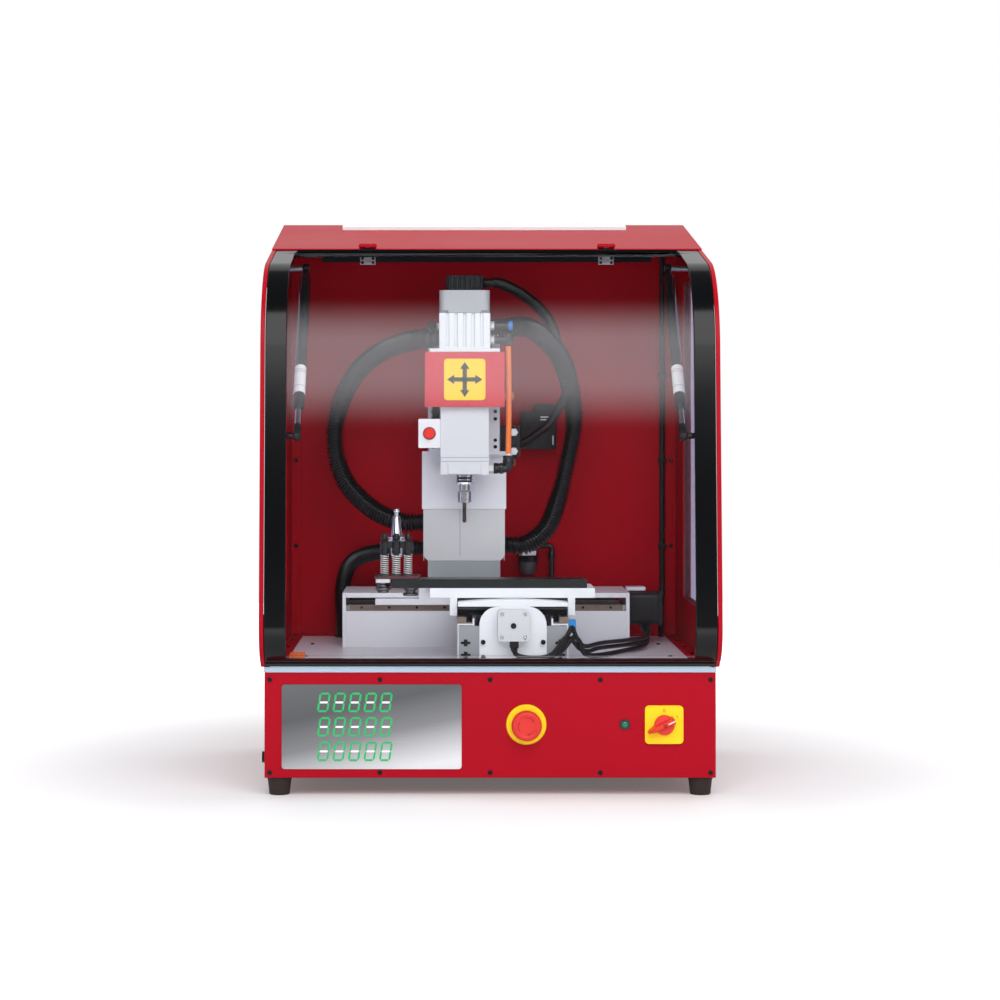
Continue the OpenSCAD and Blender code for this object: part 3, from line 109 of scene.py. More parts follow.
def shade(red, green, blue):
    """A paint of 0 to 255 a channel as a linear colour."""
    return [((c / 255 + 0.055) / 1.055) ** 2.4 if c > 10 else c / 3294.6 for c in (red, green, blue)] + [1.0]


def blank(name):
    """A new material, and a flow in its empty tree."""
    made = bpy.data.materials.new(name)
    made.use_nodes = True
    made.node_tree.nodes.clear()
    return made, Flow(made.node_tree)


def close(flow, shader):
    flow.node("ShaderNodeOutputMaterial", None, {"Surface": shader})


def finish(name, paint, rough, metal=0.0, patch=0.05, grain=700.0, depth=0.0001, stretch=(1, 1, 1), gloss=0.3,
           extra=None):
    """A finish with slow patches in its colour and gloss and a fine grain in its relief.

    patch is how much the colour wanders, grain the grains in a metre, depth their relief in metres,
    stretch squeezes the grain along the axes where it is above 1, gloss is how strongly the surface
    mirrors, and extra sets further sockets."""
    made, flow = blank(name)
    place = flow.node("ShaderNodeTexCoord", out=3)
    slow = flow.node("ShaderNodeTexNoise", None, {"Vector": place, "Scale": 7.0, "Detail": 3.0})
    drawn = flow.node("ShaderNodeMapping", None, {"Vector": place, "Scale": stretch})
    fine = flow.node("ShaderNodeTexNoise", None, {"Vector": drawn, "Scale": grain, "Detail": 2.0})
    tone = flow.node("ShaderNodeMix", {"data_type": "RGBA"}, {
        0: slow * 0.6 + fine * 0.4, 6: [c * (1 - 2 * patch) for c in paint[:3]] + [1.0],
        7: [min(1.0, c * (1 + 2 * patch)) for c in paint[:3]] + [1.0]}, out=2)
    relief = flow.node("ShaderNodeBump", None, {"Strength": 1.0, "Distance": depth, "Height": fine})
    shader = flow.node("ShaderNodeBsdfPrincipled", None, {
        "Base Color": tone, "Roughness": rough + (slow + fine - 1.0) * (rough * 0.35), "Metallic": metal,
        "Specular IOR Level": gloss, "Normal": relief, **(extra or {})})
    close(flow, shader)
    return made


def placed(name, data):
    """A new object in the scene."""
    thing = bpy.data.objects.new(name, data)
    bpy.context.scene.collection.objects.link(thing)
    return thing


def baked(holder):
    """The plain mesh of an object with modifiers; the object goes."""
    mesh = bpy.data.meshes.new_from_object(holder.evaluated_get(bpy.context.evaluated_depsgraph_get()))
    holder.modifiers.clear()
    bpy.data.objects.remove(holder)
    return mesh


def kept(name, mesh, look, body, node=None):
    """Puts a finished mesh in the scene, on its body if it is rigid, for the CAD piece it stands for."""
    mesh.materials.clear()
    mesh.materials.append(look)
    piece = placed(name, mesh)
    if node:
        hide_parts(node)
    if body:
        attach(piece, body)
    return piece


def soften(shape, turn=30):
    """Smooth faces with crisp edges where the surface turns by more than the angle."""
    for face in shape.faces:
        face.smooth = True
    for edge in shape.edges:
        edge.smooth = len(edge.link_faces) == 2 and edge.calc_face_angle(0.0) < radians(turn)


def closed(shape, turn=30):
    """The shape with its faces turned outwards and softened."""
    bmesh.ops.recalc_face_normals(shape, faces=shape.faces)
    soften(shape, turn)
    return shape


def rounded(mesh, edge):
    """The mesh with its crisp edges rounded."""
    holder = placed("holder", mesh)
    bevel = holder.modifiers.new("edge", "BEVEL")
    bevel.width, bevel.segments, bevel.limit_method, bevel.angle_limit = edge, 2, "ANGLE", radians(40)
    bevel.use_clamp_overlap, bevel.harden_normals = False, True
    return baked(holder)


def dressed(node, look, edge=0.0005):
    """A copy of a CAD piece with its seams closed and its edges rounded."""
    shape = bmesh.new()
    shape.from_mesh(frame["nodes"][node].data)
    bmesh.ops.remove_doubles(shape, verts=shape.verts, dist=1e-6)
    bmesh.ops.dissolve_limit(shape, angle_limit=radians(0.5), verts=shape.verts, edges=shape.edges)
    soften(shape)
    mesh = bpy.data.meshes.new(node)
    shape.to_mesh(mesh)
    shape.free()
    record = frame["record"]
    slot = next(part["material_slot"] for part in record["subparts"] if part["node"] == node)
    body = next(key for key, names in record["behaviour"]["bodies"].items() if node in names)
    return kept(node + "_dressed", rounded(mesh, edge) if edge else mesh, look, body, node)


def repaint(piece, look, where):
    """Gives another finish to the faces whose middle passes the test."""
    piece.data.materials.append(look)
    for face in piece.data.polygons:
        if where(face.center):
            face.material_index = len(piece.data.materials) - 1


red_coat = finish("red_coat", shade(168, 4, 28), 0.36, depth=0.00003, grain=900, gloss=0.12)
dressed("base_housing", red_coat, 0.0012)
dressed("front_panel", red_coat, 0.0008)

# ---- Feet ----
# Four turned rubber feet under the corners, bolted up through the bottom. Their moulded flanks
# taper to the ground and carry a thin collar under the steel.


def mm(*points, mid=(0.0, 0.0)):
    """Points of an outline given in millimetres from a middle; a third number stays as it is."""
    return [(mid[0] + a / 1000, mid[1] + b / 1000, *more) for a, b, *more in points]


def turned(outline, sides=48, place=(0, 0, 0), axis="Z"):
    """A closed lathe shape from (radius, height) pairs, standing along one axis. A third number in a
    pair gives that ring as many corners. An outline that ends where it starts leaves a bore open."""
    shape = bmesh.new()
    rings = []
    for radius, height, *corners in outline:
        angles = [2 * pi * k / sides for k in range(sides)] if radius > 1e-6 else [0.0]
        step = 2 * pi / corners[0] if corners else 0.0
        spans = [radius * cos(step / 2) / cos(a % step - step / 2) if corners else radius for a in angles]
        rings.append([shape.verts.new((r * cos(a), r * sin(a), height)) for r, a in zip(spans, angles)])
    for low, high in zip(rings, rings[1:]):
        for k in range(sides):
            nxt = (k + 1) % sides
            if len(low) == 1 and len(high) > 1:
                shape.faces.new((low[0], high[nxt], high[k]))
            elif len(high) == 1 and len(low) > 1:
                shape.faces.new((low[k], low[nxt], high[0]))
            elif len(low) > 1:
                shape.faces.new((low[k], low[nxt], high[nxt], high[k]))
    if outline[0] == outline[-1]:
        bmesh.ops.remove_doubles(shape, verts=shape.verts, dist=1e-7)
    else:
        for end in (list(reversed(rings[0])), rings[-1]):
            if len(end) > 1:
                shape.faces.new(end)
    turn = {"X": Matrix.Rotation(pi / 2, 3, "Y"), "Y": Matrix.Rotation(-pi / 2, 3, "X"),
            "-Y": Matrix.Rotation(pi / 2, 3, "X"), "Z": Matrix.Identity(3)}[axis]
    for vert in shape.verts:
        vert.co = turn @ vert.co + Vector(place)
    return closed(shape)


def joined(name, *shapes):
    """One mesh from several shapes."""
    mesh = bpy.data.meshes.new(name)
    total = bmesh.new()
    for shape in shapes:
        part = bpy.data.meshes.new("part")
        shape.to_mesh(part)
        shape.free()
        total.from_mesh(part)
        bpy.data.meshes.remove(part)
    total.to_mesh(mesh)
    total.free()
    return mesh


def fitted(name, look, body, slot, *shapes, node=None, edge=0.0):
    """Puts shapes in the scene as one piece, with its crisp edges rounded where an edge is given."""
    mesh = joined(name, *shapes)
    return kept(name, rounded(mesh, edge) if edge else mesh, look, body, node)


foot_rubber = finish("foot_rubber", shade(46, 36, 33), 0.62, grain=1400, depth=0.00006)
foot_low, foot_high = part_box("feet")
foot_r = 0.0165
foot_outline = mm((0, 0), (12.5, 0), (13.7, 1.2), (15, 12.5), (15.8, 20), (16.5, 20.6), (16.5, 23.2), (15.8, 23.9), (0, 23.9))
fitted("rubber_feet", foot_rubber, "machine", "foot_rubber", *[
    turned(foot_outline, 40, (x, y, 0)) for x in (foot_low.x + foot_r, foot_high.x - foot_r)
    for y in (foot_low.y + foot_r, foot_high.y - foot_r)], node="feet")

# ---- Panel screws ----
# Small black button-head screws with hexagon sockets. They hold the front panel to the base and the
# flanges of the walls to the top plate and the rear wall.


def screw_head(radius, height):
    """A button head along +Z from its seat, with a hexagon socket."""
    socket = radius * 0.5
    return joined("head", turned([
        (0, 0), (radius, 0), (radius, height * 0.35), (radius * 0.8, height * 0.85), (radius * 0.62, height),
        (socket, height, 6), (socket, height * 0.35, 6), (0, height * 0.3)], 24))


def new_tree(name, result, *inputs):
    """A geometry node tree with inputs written as "Name:Kind": a flow in it, then its inputs."""
    tree = bpy.data.node_groups.new(name, "GeometryNodeTree")
    for label, kind in (text.split(":") for text in inputs):
        tree.interface.new_socket(label, in_out="INPUT", socket_type="NodeSocket" + kind)
    tree.interface.new_socket(result, in_out="OUTPUT", socket_type="NodeSocketGeometry")
    given = tree.nodes.new("NodeGroupInput")
    return [Flow(tree)] + [Flow(tree, given.outputs[k]) for k in range(len(inputs))]


def end_tree(flow, result, geometry, coat):
    """Ends a tree with its instances made real and finished."""
    solid = flow.node("GeometryNodeRealizeInstances", None, {"Geometry": geometry})
    coated = flow.node("GeometryNodeSetMaterial", None, {"Geometry": solid, "Material": coat})
    flow.node("NodeGroupOutput", None, {result: coated})
    return flow.tree


def setting_tree():
    """The nodes that set a part out on points, each turned to the way its point faces."""
    flow, points, part, size, coat = new_tree(
        "setting_out", "Parts", "Points:Geometry", "Part:Object", "Part Size:Float", "Finish:Material")
    facing = flow.node("GeometryNodeInputNamedAttribute", {"data_type": "FLOAT_VECTOR"}, {"Name": "facing"})
    turn = flow.node("FunctionNodeAlignRotationToVector", {"axis": "Z"}, {"Vector": facing})
    shape = flow.node("GeometryNodeObjectInfo", None, {"Object": part}, out=4)
    return end_tree(flow, "Parts", flow.node("GeometryNodeInstanceOnPoints", None, {
        "Points": points, "Instance": shape, "Rotation": turn, "Scale": size}), coat)


def worked(source, tree, values):
    """The plain mesh that a node tree makes of a mesh, with its named inputs set."""
    holder = placed("holder", source)
    nodes = holder.modifiers.new("nodes", "NODES")
    nodes.node_group = tree
    for item in tree.interface.items_tree:
        if item.in_out == "INPUT" and item.name in values:
            nodes[item.identifier] = values[item.name]
    return baked(holder)


def set_out(name, look, body, spots, part, node=None):
    """One piece of like parts on (place, facing) spots; the part is drawn along +Z."""
    points = bpy.data.meshes.new("points")
    points.from_pydata([place for place, _ in spots], [], [])
    facing = points.attributes.new("facing", "FLOAT_VECTOR", "POINT")
    for k, (_, way) in enumerate(spots):
        facing.data[k].vector = way
    model = bpy.data.objects.new("part", part)
    mesh = worked(points, setting, {"Part": model, "Part Size": 1.0, "Finish": look})
    bpy.data.objects.remove(model)
    return kept(name, mesh, look, body, node)


OUT, UP = (0, -1, 0), (0, 0, 1)
SIDES = (-1, 1)
setting = setting_tree()
black_steel = finish("black_steel", shade(26, 26, 28), 0.4, metal=0.35, grain=2200, depth=0.00001)
panel_low, panel_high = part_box("front_panel")
liner_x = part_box("side_liners")[1].x
front, deck = panel_low.y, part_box("top_plate")[1].z - 0.006
column_pitch, row_z = (panel_high.x - 0.007) / 2, (panel_low.z + 0.007, panel_high.z - 0.0095)
wall_screw_z = (0.137, 0.267, 0.397)
spots = [((k * column_pitch, front, z), OUT) for k in range(-2, 3) for z in row_z]
spots += [((side * (liner_x - 0.010), front + d, deck + 0.002), UP)
          for side in SIDES for d in (0.060, 0.170, 0.280, 0.390, 0.480)]
spots += [((x / 10, front + 0.498, deck + 0.002), UP) for x in range(-2, 3)]
spots += [((side * (liner_x - 0.042), front + d, deck), UP) for side in SIDES for d in (0.150, 0.345)]
spots += [((side * (liner_x - 0.009), front + 0.506, deck + z), OUT) for side in SIDES for z in wall_screw_z]
set_out("panel_screws", black_steel, "machine", spots, screw_head(0.0032, 0.0018), "black_screws")

# ---- Display ----
# A thin brushed plate with rounded corners, lit from behind. Its colour is a painted reflection, dark at the top left
# and near white at the lower right. Its digits are flat bars of light: the middle bar of each is paler than the others.


def prism(outline, low, high, axis="Z", crisp=30):
    """A solid with a flat outline, drawn out along an axis: Z from above, Y from the front, X from the side."""
    place = {"Z": lambda a, b, t: (a, b, t), "Y": lambda a, b, t: (a, t, b), "X": lambda a, b, t: (t, a, b)}[axis]
    shape = bmesh.new()
    ends = [[shape.verts.new(place(a, b, t)) for a, b in outline] for t in (low, high)]
    shape.faces.new(ends[0])
    shape.faces.new(ends[1])
    for k in range(len(outline)):
        nxt = (k + 1) % len(outline)
        shape.faces.new((ends[0][k], ends[0][nxt], ends[1][nxt], ends[1][k]))
    return closed(shape, crisp)


digit_w, digit_h, stroke, bar_gap, bar_height = 0.015, 0.026, 0.0026, 0.0005, 0.0004
slant = tan(radians(9))
half_w, half_h = (digit_w - stroke) / 2, (digit_h - stroke) / 2


def bar(half, at_x, at_y, tall=False):
    """A bar of a digit with pointed ends, leaning with the digit."""
    half, s = half - bar_gap, stroke / 2
    points = [(-half, 0), (-half + s, s), (half - s, s), (half, 0), (half - s, -s), (-half + s, -s)]
    if tall:
        points = [(-b, a) for a, b in points]
    return prism([(at_x + a + slant * (at_y + b), at_y + b) for a, b in points], 0, bar_height)


display_low, display_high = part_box("display_plate")
made, flow = blank("display_face")
place = flow.node("ShaderNodeTexCoord", out=3)
axes = flow.node("ShaderNodeSeparateXYZ", None, {0: place}).socket.node.outputs
across, drop = Flow(flow.tree, axes[0]) - display_low.x, display_high.z - Flow(flow.tree, axes[2])
drawn = flow.node("ShaderNodeMapping", None, {"Vector": place, "Scale": (30, 1, 2500)})
brushed = flow.node("ShaderNodeTexNoise", None, {"Vector": drawn, "Scale": 1.0, "Detail": 2.0})
# Painted reflection: the plate's colour runs from dark at the top left to near white at the lower right.
painted_display_sheen = drop * (1 / 0.1125) + across * (0.45 / 0.239) + brushed * 0.06
tone = flow.node("ShaderNodeValToRGB", {"stops": [
    (0.0, shade(96, 98, 100)), (0.30, shade(84, 85, 88)), (0.54, shade(128, 129, 133)), (0.84, shade(226, 227, 230))]},
    {0: painted_display_sheen * (1 / 1.6)})
close(flow, flow.node("ShaderNodeBsdfPrincipled", None, {
    "Base Color": tone, "Roughness": brushed * 0.2 + 0.3, "Metallic": 0.25,
    "Normal": flow.node("ShaderNodeBump", None, {"Strength": 0.6, "Distance": 0.00002, "Height": brushed})}))
dressed("display_plate", made, 0.0004)

digit_green = finish("digit_green", shade(40, 176, 100), 0.5, patch=0.03, extra={
    "Emission Color": shade(36, 190, 104), "Emission Strength": 0.10})
digit_pale = finish("digit_pale", shade(236, 236, 234), 0.45, patch=0.02, extra={
    "Emission Color": shade(255, 255, 250), "Emission Strength": 0.08})
outer = joined("outer_bars", *[bar(half_w, 0, y) for y in (-half_h, half_h)],
               *[bar(half_h / 2, x, y, tall=True) for x in (-half_w, half_w) for y in (-half_h / 2, half_h / 2)])
first_x, digit_pitch, row_pitch = -0.221, 0.0206, 0.0325
middle_z = (display_low.z + display_high.z) / 2
spots = [((first_x + k * digit_pitch, display_low.y, middle_z + row * row_pitch), OUT) for row in (-1, 0, 1) for k in range(5)]
set_out("digit_bars", digit_green, "machine", spots, outer, "display_digits")
set_out("digit_middles", digit_pale, "machine", spots, joined("middle_bar", bar(half_w, 0, 0)))

# ---- Emergency stop ----
# A moulded red mushroom on a grey stem over a flat yellow collar. Three arrows pressed into its
# crown show the way it turns to let go.


def oblong(a_low, a_high, b_low, b_high):
    """The corners of a rectangle."""
    return [(a_low, b_low), (a_high, b_low), (a_high, b_high), (a_low, b_high)]


def rounded_outline(width, height, radius, mid=(0, 0), steps=8):
    """The outline of a rectangle with round corners."""
    points = []
    for k, (sx, sy) in enumerate(((1, 1), (-1, 1), (-1, -1), (1, -1))):
        cx, cy = mid[0] + sx * (width / 2 - radius), mid[1] + sy * (height / 2 - radius)
        points += [(cx + radius * cos(pi / 2 * (k + i / steps)), cy + radius * sin(pi / 2 * (k + i / steps)))
                   for i in range(steps + 1)]
    return points


def arrow(radius, start, sweep, width):
    """The outline of an arrow bent round a centre, its head at the end of the sweep."""
    shaft = [start + sweep * 0.75 * k / 10 for k in range(11)]
    turns = ([(width / 2, a) for a in shaft] + [(width * 1.5, shaft[-1]), (0, start + sweep), (-width * 1.5, shaft[-1])]
             + [(-width / 2, a) for a in reversed(shaft)])
    return [((radius + out) * cos(a), (radius + out) * sin(a)) for out, a in turns]


def faced(shape, place):
    """A shape drawn along +Z turned to stand out of the front at a place."""
    bmesh.ops.transform(shape, matrix=Matrix.Translation(place) @ Matrix.Rotation(pi / 2, 4, "X"), verts=shape.verts)
    return shape


def middle(node):
    """The middle of a CAD piece's box."""
    low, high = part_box(node)
    return (low + high) / 2


yellow_plastic = finish("yellow_plastic", shade(252, 212, 24), 0.38, patch=0.03, grain=1500, depth=0.00001)
stop_red = finish("stop_red", shade(214, 52, 48), 0.4, patch=0.03, grain=1600, depth=0.00001)
stop_mark = finish("stop_mark", shade(178, 38, 36), 0.5, patch=0.03)
grey_plastic = finish("grey_plastic", shade(88, 90, 94), 0.45, grain=1500, depth=0.00001)
dressed("estop_collar", yellow_plastic, 0.0006)
dressed("estop_stem", grey_plastic, 0.0004)
stop_x, control_z = middle("estop_collar").x, middle("estop_collar").z
stop_place = Vector((stop_x, front, control_z))
crown = mm((0, 10), (17.2, 10), (19.2, 10.6), (20, 12.2), (20, 18.6), (19.7, 20.6), (18.8, 22.4), (17.4, 23.4), (15.8, 23.9),
           (14.8, 23.9), (14, 23.4), (10, 23), (0, 22.8))
mark_outlines = [arrow(0.0112, radians(100 + 120 * k), radians(-72), 0.0013) for k in range(3)]
mushroom = fitted("mushroom", stop_red, "stop_mushroom", "red_plastic", turned(crown, 96, stop_place, "-Y"),
                  *[faced(prism(outline, 0.0226, 0.0234), stop_place) for outline in mark_outlines], node="estop_button")
repaint(mushroom, stop_mark, lambda c: c.y < front - 0.02335
        and 0.009 < (Vector((c.x, c.z)) - Vector((stop_x, control_z))).length < 0.0135)

# ---- Signal lamp ----
# A green lens with a faceted face in a dark turned ring, pushed through the panel.
lamp_ring = finish("lamp_ring", shade(58, 66, 70), 0.35, metal=0.5)
lamp_place = (middle("signal_lamp").x, front, control_z)
fitted("lamp_bezel", lamp_ring, "machine", "lamp_green", turned(
    mm((4.6, 0), (7, 0), (7, 1.4), (6.4, 2.1), (5.4, 2.2), (4.7, 1.6)), 48, lamp_place, "-Y"), node="signal_lamp")
lamp_green = finish("lamp_green", shade(12, 112, 80), 0.12, patch=0.08, extra={
    "Emission Color": shade(10, 120, 84), "Emission Strength": 0.08, "Coat Weight": 0.6})
fitted("lamp_lens", lamp_green, "machine", "lamp_green", turned(
    mm((0, -12), (4.5, -12), (4.5, 1), (4, 2.2, 6), (2.2, 2.9, 6), (0, 3)), 48, lamp_place, "-Y"))

# ---- Main switch ----
# A square yellow plate with a raised edge and a red pointer handle on a disc. The positions are
# marked 0 and 1; the line on the handle's short end shows which one is set.
switch_low, switch_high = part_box("switch_plate")
switch_mid = Vector(((switch_low.x + switch_high.x) / 2, front, (switch_low.z + switch_high.z) / 2))


def ring(outline, inner, low, high):
    """A frame between two outlines of as many points each, drawn along +Z."""
    shape = bmesh.new()
    rows = [[shape.verts.new((a, b, t)) for a, b in line] for line, t in
            ((outline, low), (outline, high), (inner, high), (inner, low))]
    for row, nxt in zip(rows, rows[1:] + rows[:1]):
        for k in range(len(outline)):
            after = (k + 1) % len(outline)
            shape.faces.new((row[k], row[after], nxt[after], nxt[k]))
    return closed(shape)


plate_w, rim_w, handle_turn = switch_high.x - switch_low.x, 0.0044, Matrix.Rotation(radians(25), 3, "Z")
plate_outline = rounded_outline(plate_w, plate_w, 0.0055)
fitted("switch_base", yellow_plastic, "machine", "yellow_plastic", faced(prism(plate_outline, 0, 0.0034), switch_mid),
       faced(ring(plate_outline, rounded_outline(plate_w - rim_w, plate_w - rim_w, 0.0036), 0.0033, 0.0040), switch_mid),
       node="switch_plate", edge=0.0003)
mark_black = finish("mark_black", shade(60, 48, 20), 0.5, patch=0.03)
oval = [(0.0010 * cos(2 * pi * k / 20), 0.0017 * sin(2 * pi * k / 20)) for k in range(20)]
zero = ring([(a * 1.5, b * 1.3) for a, b in oval], oval, 0.0033, 0.00355)
one = prism(mm((-0.3, -1.7), (0.3, -1.7), (0.3, 1.7), (-0.3, 1.7), (-0.9, 1), (-0.3, 1)), 0.0033, 0.00355)
fitted("switch_marks", mark_black, "machine", "yellow_plastic", faced(zero, switch_mid + Vector((0, 0, 0.0190))),
       faced(one, switch_mid + Vector((0.0172, 0, 0.0108))))
switch_red = finish("switch_red", shade(222, 44, 34), 0.33, patch=0.03, grain=1500, depth=0.00001, extra={"Coat Weight": 0.3})
handle_line = finish("handle_line", shade(240, 240, 238), 0.4, patch=0.02)
grip = bmesh.new()
sections = [(-15.0, 3.6, 19.0), (-14.2, 5.0, 19.2), (-9.0, 5.6, 19.3), (0.0, 5.8, 19.3), (8.0, 5.2, 19.3), (16.0, 3.4, 19.2),
            (21.5, 1.6, 18.8), (24.0, 0.4, 18.0)]
rows = []
for along, half, top in sections:
    flank = [(half + 1.0, 4.3), (half + 1.0, 6.0), (half, 9.5), (half * 0.62, 16.5), (half * 0.45, top - 0.4), (half * 0.3, top)]
    outline = [(-side, high) for side, high in flank] + flank[::-1]
    rows.append([grip.verts.new((-along / 1000, side / 1000, min(high, top) / 1000)) for side, high in outline])
for row, after in zip(rows, rows[1:]):
    for k in range(len(row)):
        nxt = (k + 1) % len(row)
        grip.faces.new((row[k], row[nxt], after[nxt], after[k]))
grip.faces.new(rows[0])
grip.faces.new(rows[-1])
closed(grip, 35)
disc = turned(mm((0, -15), (5, -15), (5, 4.3), (13.2, 4.3), (13.2, 9.2), (12.4, 10.2), (0, 10.3)), 64)
boss = turned(mm((0, 19), (2.1, 19), (2.1, 19.6), (1.3, 19.8), (1.3, 19.2), (0, 19)), 24)
line = prism(mm((5, -0.7), (15, -0.6), (15, 0.6), (5, 0.7)), 0.0191, 0.01945)
for shape in (grip, line):
    bmesh.ops.rotate(shape, cent=(0, 0, 0), matrix=handle_turn, verts=shape.verts)
fitted("pointer", switch_red, "main_switch", "red_plastic", faced(grip, switch_mid), faced(disc, switch_mid), node="switch_handle")
fitted("pointer_screw", black_steel, "main_switch", "black_steel", faced(boss, switch_mid))
fitted("pointer_line", handle_line, "main_switch", "red_plastic", faced(line, switch_mid))

# ---- Top plate ----
# A machined aluminium plate that closes the base. Its edge is satin anodised; the floor of the
# chamber and the sill along its front are brushed lengthwise.
deck_edge = finish("deck_edge", shade(176, 194, 212), 0.34, metal=0.45, grain=1800, depth=0.00001, stretch=(0.03, 0.03, 1))
deck_floor = finish("deck_floor", shade(232, 232, 236), 0.34, metal=0.05, grain=1500, depth=0.00001, stretch=(0.02, 1, 1))
repaint(dressed("top_plate", deck_edge, 0.0007), deck_floor, lambda c: c.z > deck - 0.0004 and c.y > front + 0.0002)

# ---- Walls ----
# Folded sheet walls: red side panels with a rim, and inside them dark red liners and a rear wall
# with a coarse orange peel. The side windows are tinted acrylic, clamped between the two skins.
peel_red = finish("peel_red", shade(172, 3, 26), 0.45, grain=420, depth=0.00012, patch=0.06, gloss=0.06)
dressed("side_panels", red_coat, 0.0009)
dressed("side_liners", peel_red, 0.0005)
dressed("rear_wall", peel_red, 0.0004)


def clear(name, tint, haze, gloss, rough=0.04, painted_reflection_belt=0.0):
    """A clear sheet: it lets light through with a tint, has a faint haze, and mirrors more at low angles.
    The last argument adds a painted reflection, a whitish haze in a soft belt across the door's upper bend, and above
    the belt it cuts the mirroring out as painted shade."""
    made, flow = blank(name)
    place = flow.node("ShaderNodeTexCoord", out=3)
    slow = flow.node("ShaderNodeTexNoise", None, {"Vector": place, "Scale": 5.0, "Detail": 3.0})
    through = flow.node("ShaderNodeBsdfTransparent", None, {"Color": tint})
    veil = flow.node("ShaderNodeBsdfPrincipled", None, {"Base Color": shade(236, 236, 240), "Roughness": 0.6})
    mirror = flow.node("ShaderNodeBsdfGlossy", None, {"Color": (1, 1, 1, 1), "Roughness": rough})
    haze_and_painted_reflection = slow * haze + haze * 0.5
    edge_on = flow.node("ShaderNodeFresnel", None, {"IOR": 1.1}) * 0.3 + gloss
    # Painted reflection and painted shade: a whitish belt by height across the door's upper bend, and no mirroring
    # above it.
    if painted_reflection_belt:
        height = flow.node("ShaderNodeSeparateXYZ", None, {"Vector": place}, out=2)
        rise, fall = [flow.node("ShaderNodeMapRange", {"interpolation_type": "SMOOTHSTEP"}, {
            "Value": height, 1: low, 2: high, 3: start, 4: end})
            for low, high, start, end in ((0.486, 0.556, 0.0, painted_reflection_belt), (0.600, 0.664, 1.0, 0.0))]
        haze_and_painted_reflection = haze_and_painted_reflection + rise * fall
        edge_on = edge_on * fall
    dusty = flow.node("ShaderNodeMixShader", None, {0: haze_and_painted_reflection, 1: through, 2: veil})
    close(flow, flow.node("ShaderNodeMixShader", None, {0: edge_on, 1: dusty, 2: mirror}))
    return made


dressed("side_windows", clear("window_tint", shade(226, 224, 244), 0.12, 0.03, 0.08), 0.0003)

# ---- Roof ----
# A bent sheet in the same red with a flange over the door, and a slim white cover strip along
# its rear edge. The flange is painted near-black as painted shade, for the shadow under the roof's front edge.
roof_piece = dressed("roof", red_coat, 0.0006)
strip_white = finish("strip_white", shade(232, 234, 236), 0.42, grain=1500, depth=0.00001)
dressed("roof_panel", strip_white, 0.0009)
roof_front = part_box("roof")[0].y
# Painted shade: the red roof's flange over the door is painted near-black.
repaint(roof_piece, finish("painted_shade_flange", shade(15, 17, 24), 0.5, patch=0.03, gloss=0.1),
        lambda c: abs(c.x) < 0.2345 and c.y < roof_front + 0.008 and c.z < deck + 0.5685)

# ---- Door switch ----
# A small orange switch body on the top plate behind the door's lower corner, with a slotted cap.
orange = finish("switch_orange", shade(226, 108, 34), 0.42, patch=0.04, grain=1400, depth=0.00001)
lock_low, lock_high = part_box("interlock_block")
lock_x, lock_y = (lock_low.x + lock_high.x) / 2, (lock_low.y + lock_high.y) / 2
lock_side = 0.020
fitted("interlock", orange, "machine", "orange_plastic",
       prism(rounded_outline(lock_side, lock_side, 0.0015, (lock_x, lock_y)), lock_low.z, lock_high.z - 0.004),
       prism(rounded_outline(0.0176, 0.0176, 0.0012, (lock_x, lock_y)), lock_high.z - 0.0041, lock_high.z - 0.0030),
       *[prism(rounded_outline(lock_side, 0.0076, 0.0012, (lock_x, lock_y + side * 0.0062)), lock_high.z - 0.0031, lock_high.z)
         for side in SIDES], node="interlock_block", edge=0.0003)

# ---- Hinges and brackets ----
# Zinc-plated hinge leaves and pressed brackets with turned studs for the gas struts. What stands
# above the roof is painted red with it, and the door's leaves are black up to there.
plated = finish("plated_steel", shade(150, 152, 156), 0.32, metal=0.75, grain=900, depth=0.00001)
hinge_z, roof_line = deck + 0.5690, deck + 0.5715
fittings = dressed("fixed_fittings", plated, 0.0003)
repaint(fittings, red_coat, lambda c: c.z > hinge_z and abs(c.x) < 0.2)
studs = dressed("door_fittings", plated, 0.0003)
spots = [((side * 0.169 + dx, front + 0.2292, hinge_z + dz), OUT)
         for side in SIDES for dx in (-0.0075, 0.0075) for dz in (-0.0115, -0.0175)]
set_out("hinge_screws", black_steel, "machine", spots, screw_head(0.0021, 0.0012))

# ---- Door ----
# One bent clear sheet behind a glossy black frame, with a black seal along its top. The frame's
# outer edges are rounded; the sheet carries a painted reflection, a whitish belt along its upper bend, with painted
# shade above it where the mirroring is cut out.
black_gloss = finish("black_gloss", shade(6, 7, 10), 0.16, patch=0.04, grain=500, depth=0.00001, gloss=0.28)
dressed("door_frame", black_gloss, 0.0014)
repaint(studs, black_gloss, lambda c: c.z < roof_line)
repaint(studs, red_coat, lambda c: c.z > roof_line)
seal_black = finish("seal_black", shade(12, 13, 16), 0.7, patch=0.03, grain=1200, depth=0.00001, gloss=0.0)
seal = mm((195.6, 562.6), (225.2, 568.7), (225.1, 569.6), (195.5, 563.5), mid=(front, deck))
fitted("top_seal", seal_black, "door", "black_gloss", prism(seal, -0.268, 0.268, "X"))
# The door pane carries the painted reflection belt across its upper bend and the painted shade above it.
dressed("door_pane", clear("clear_pane", shade(252, 252, 253), 0.001, 0.0015, 0.25, painted_reflection_belt=0.072), 0.0002)

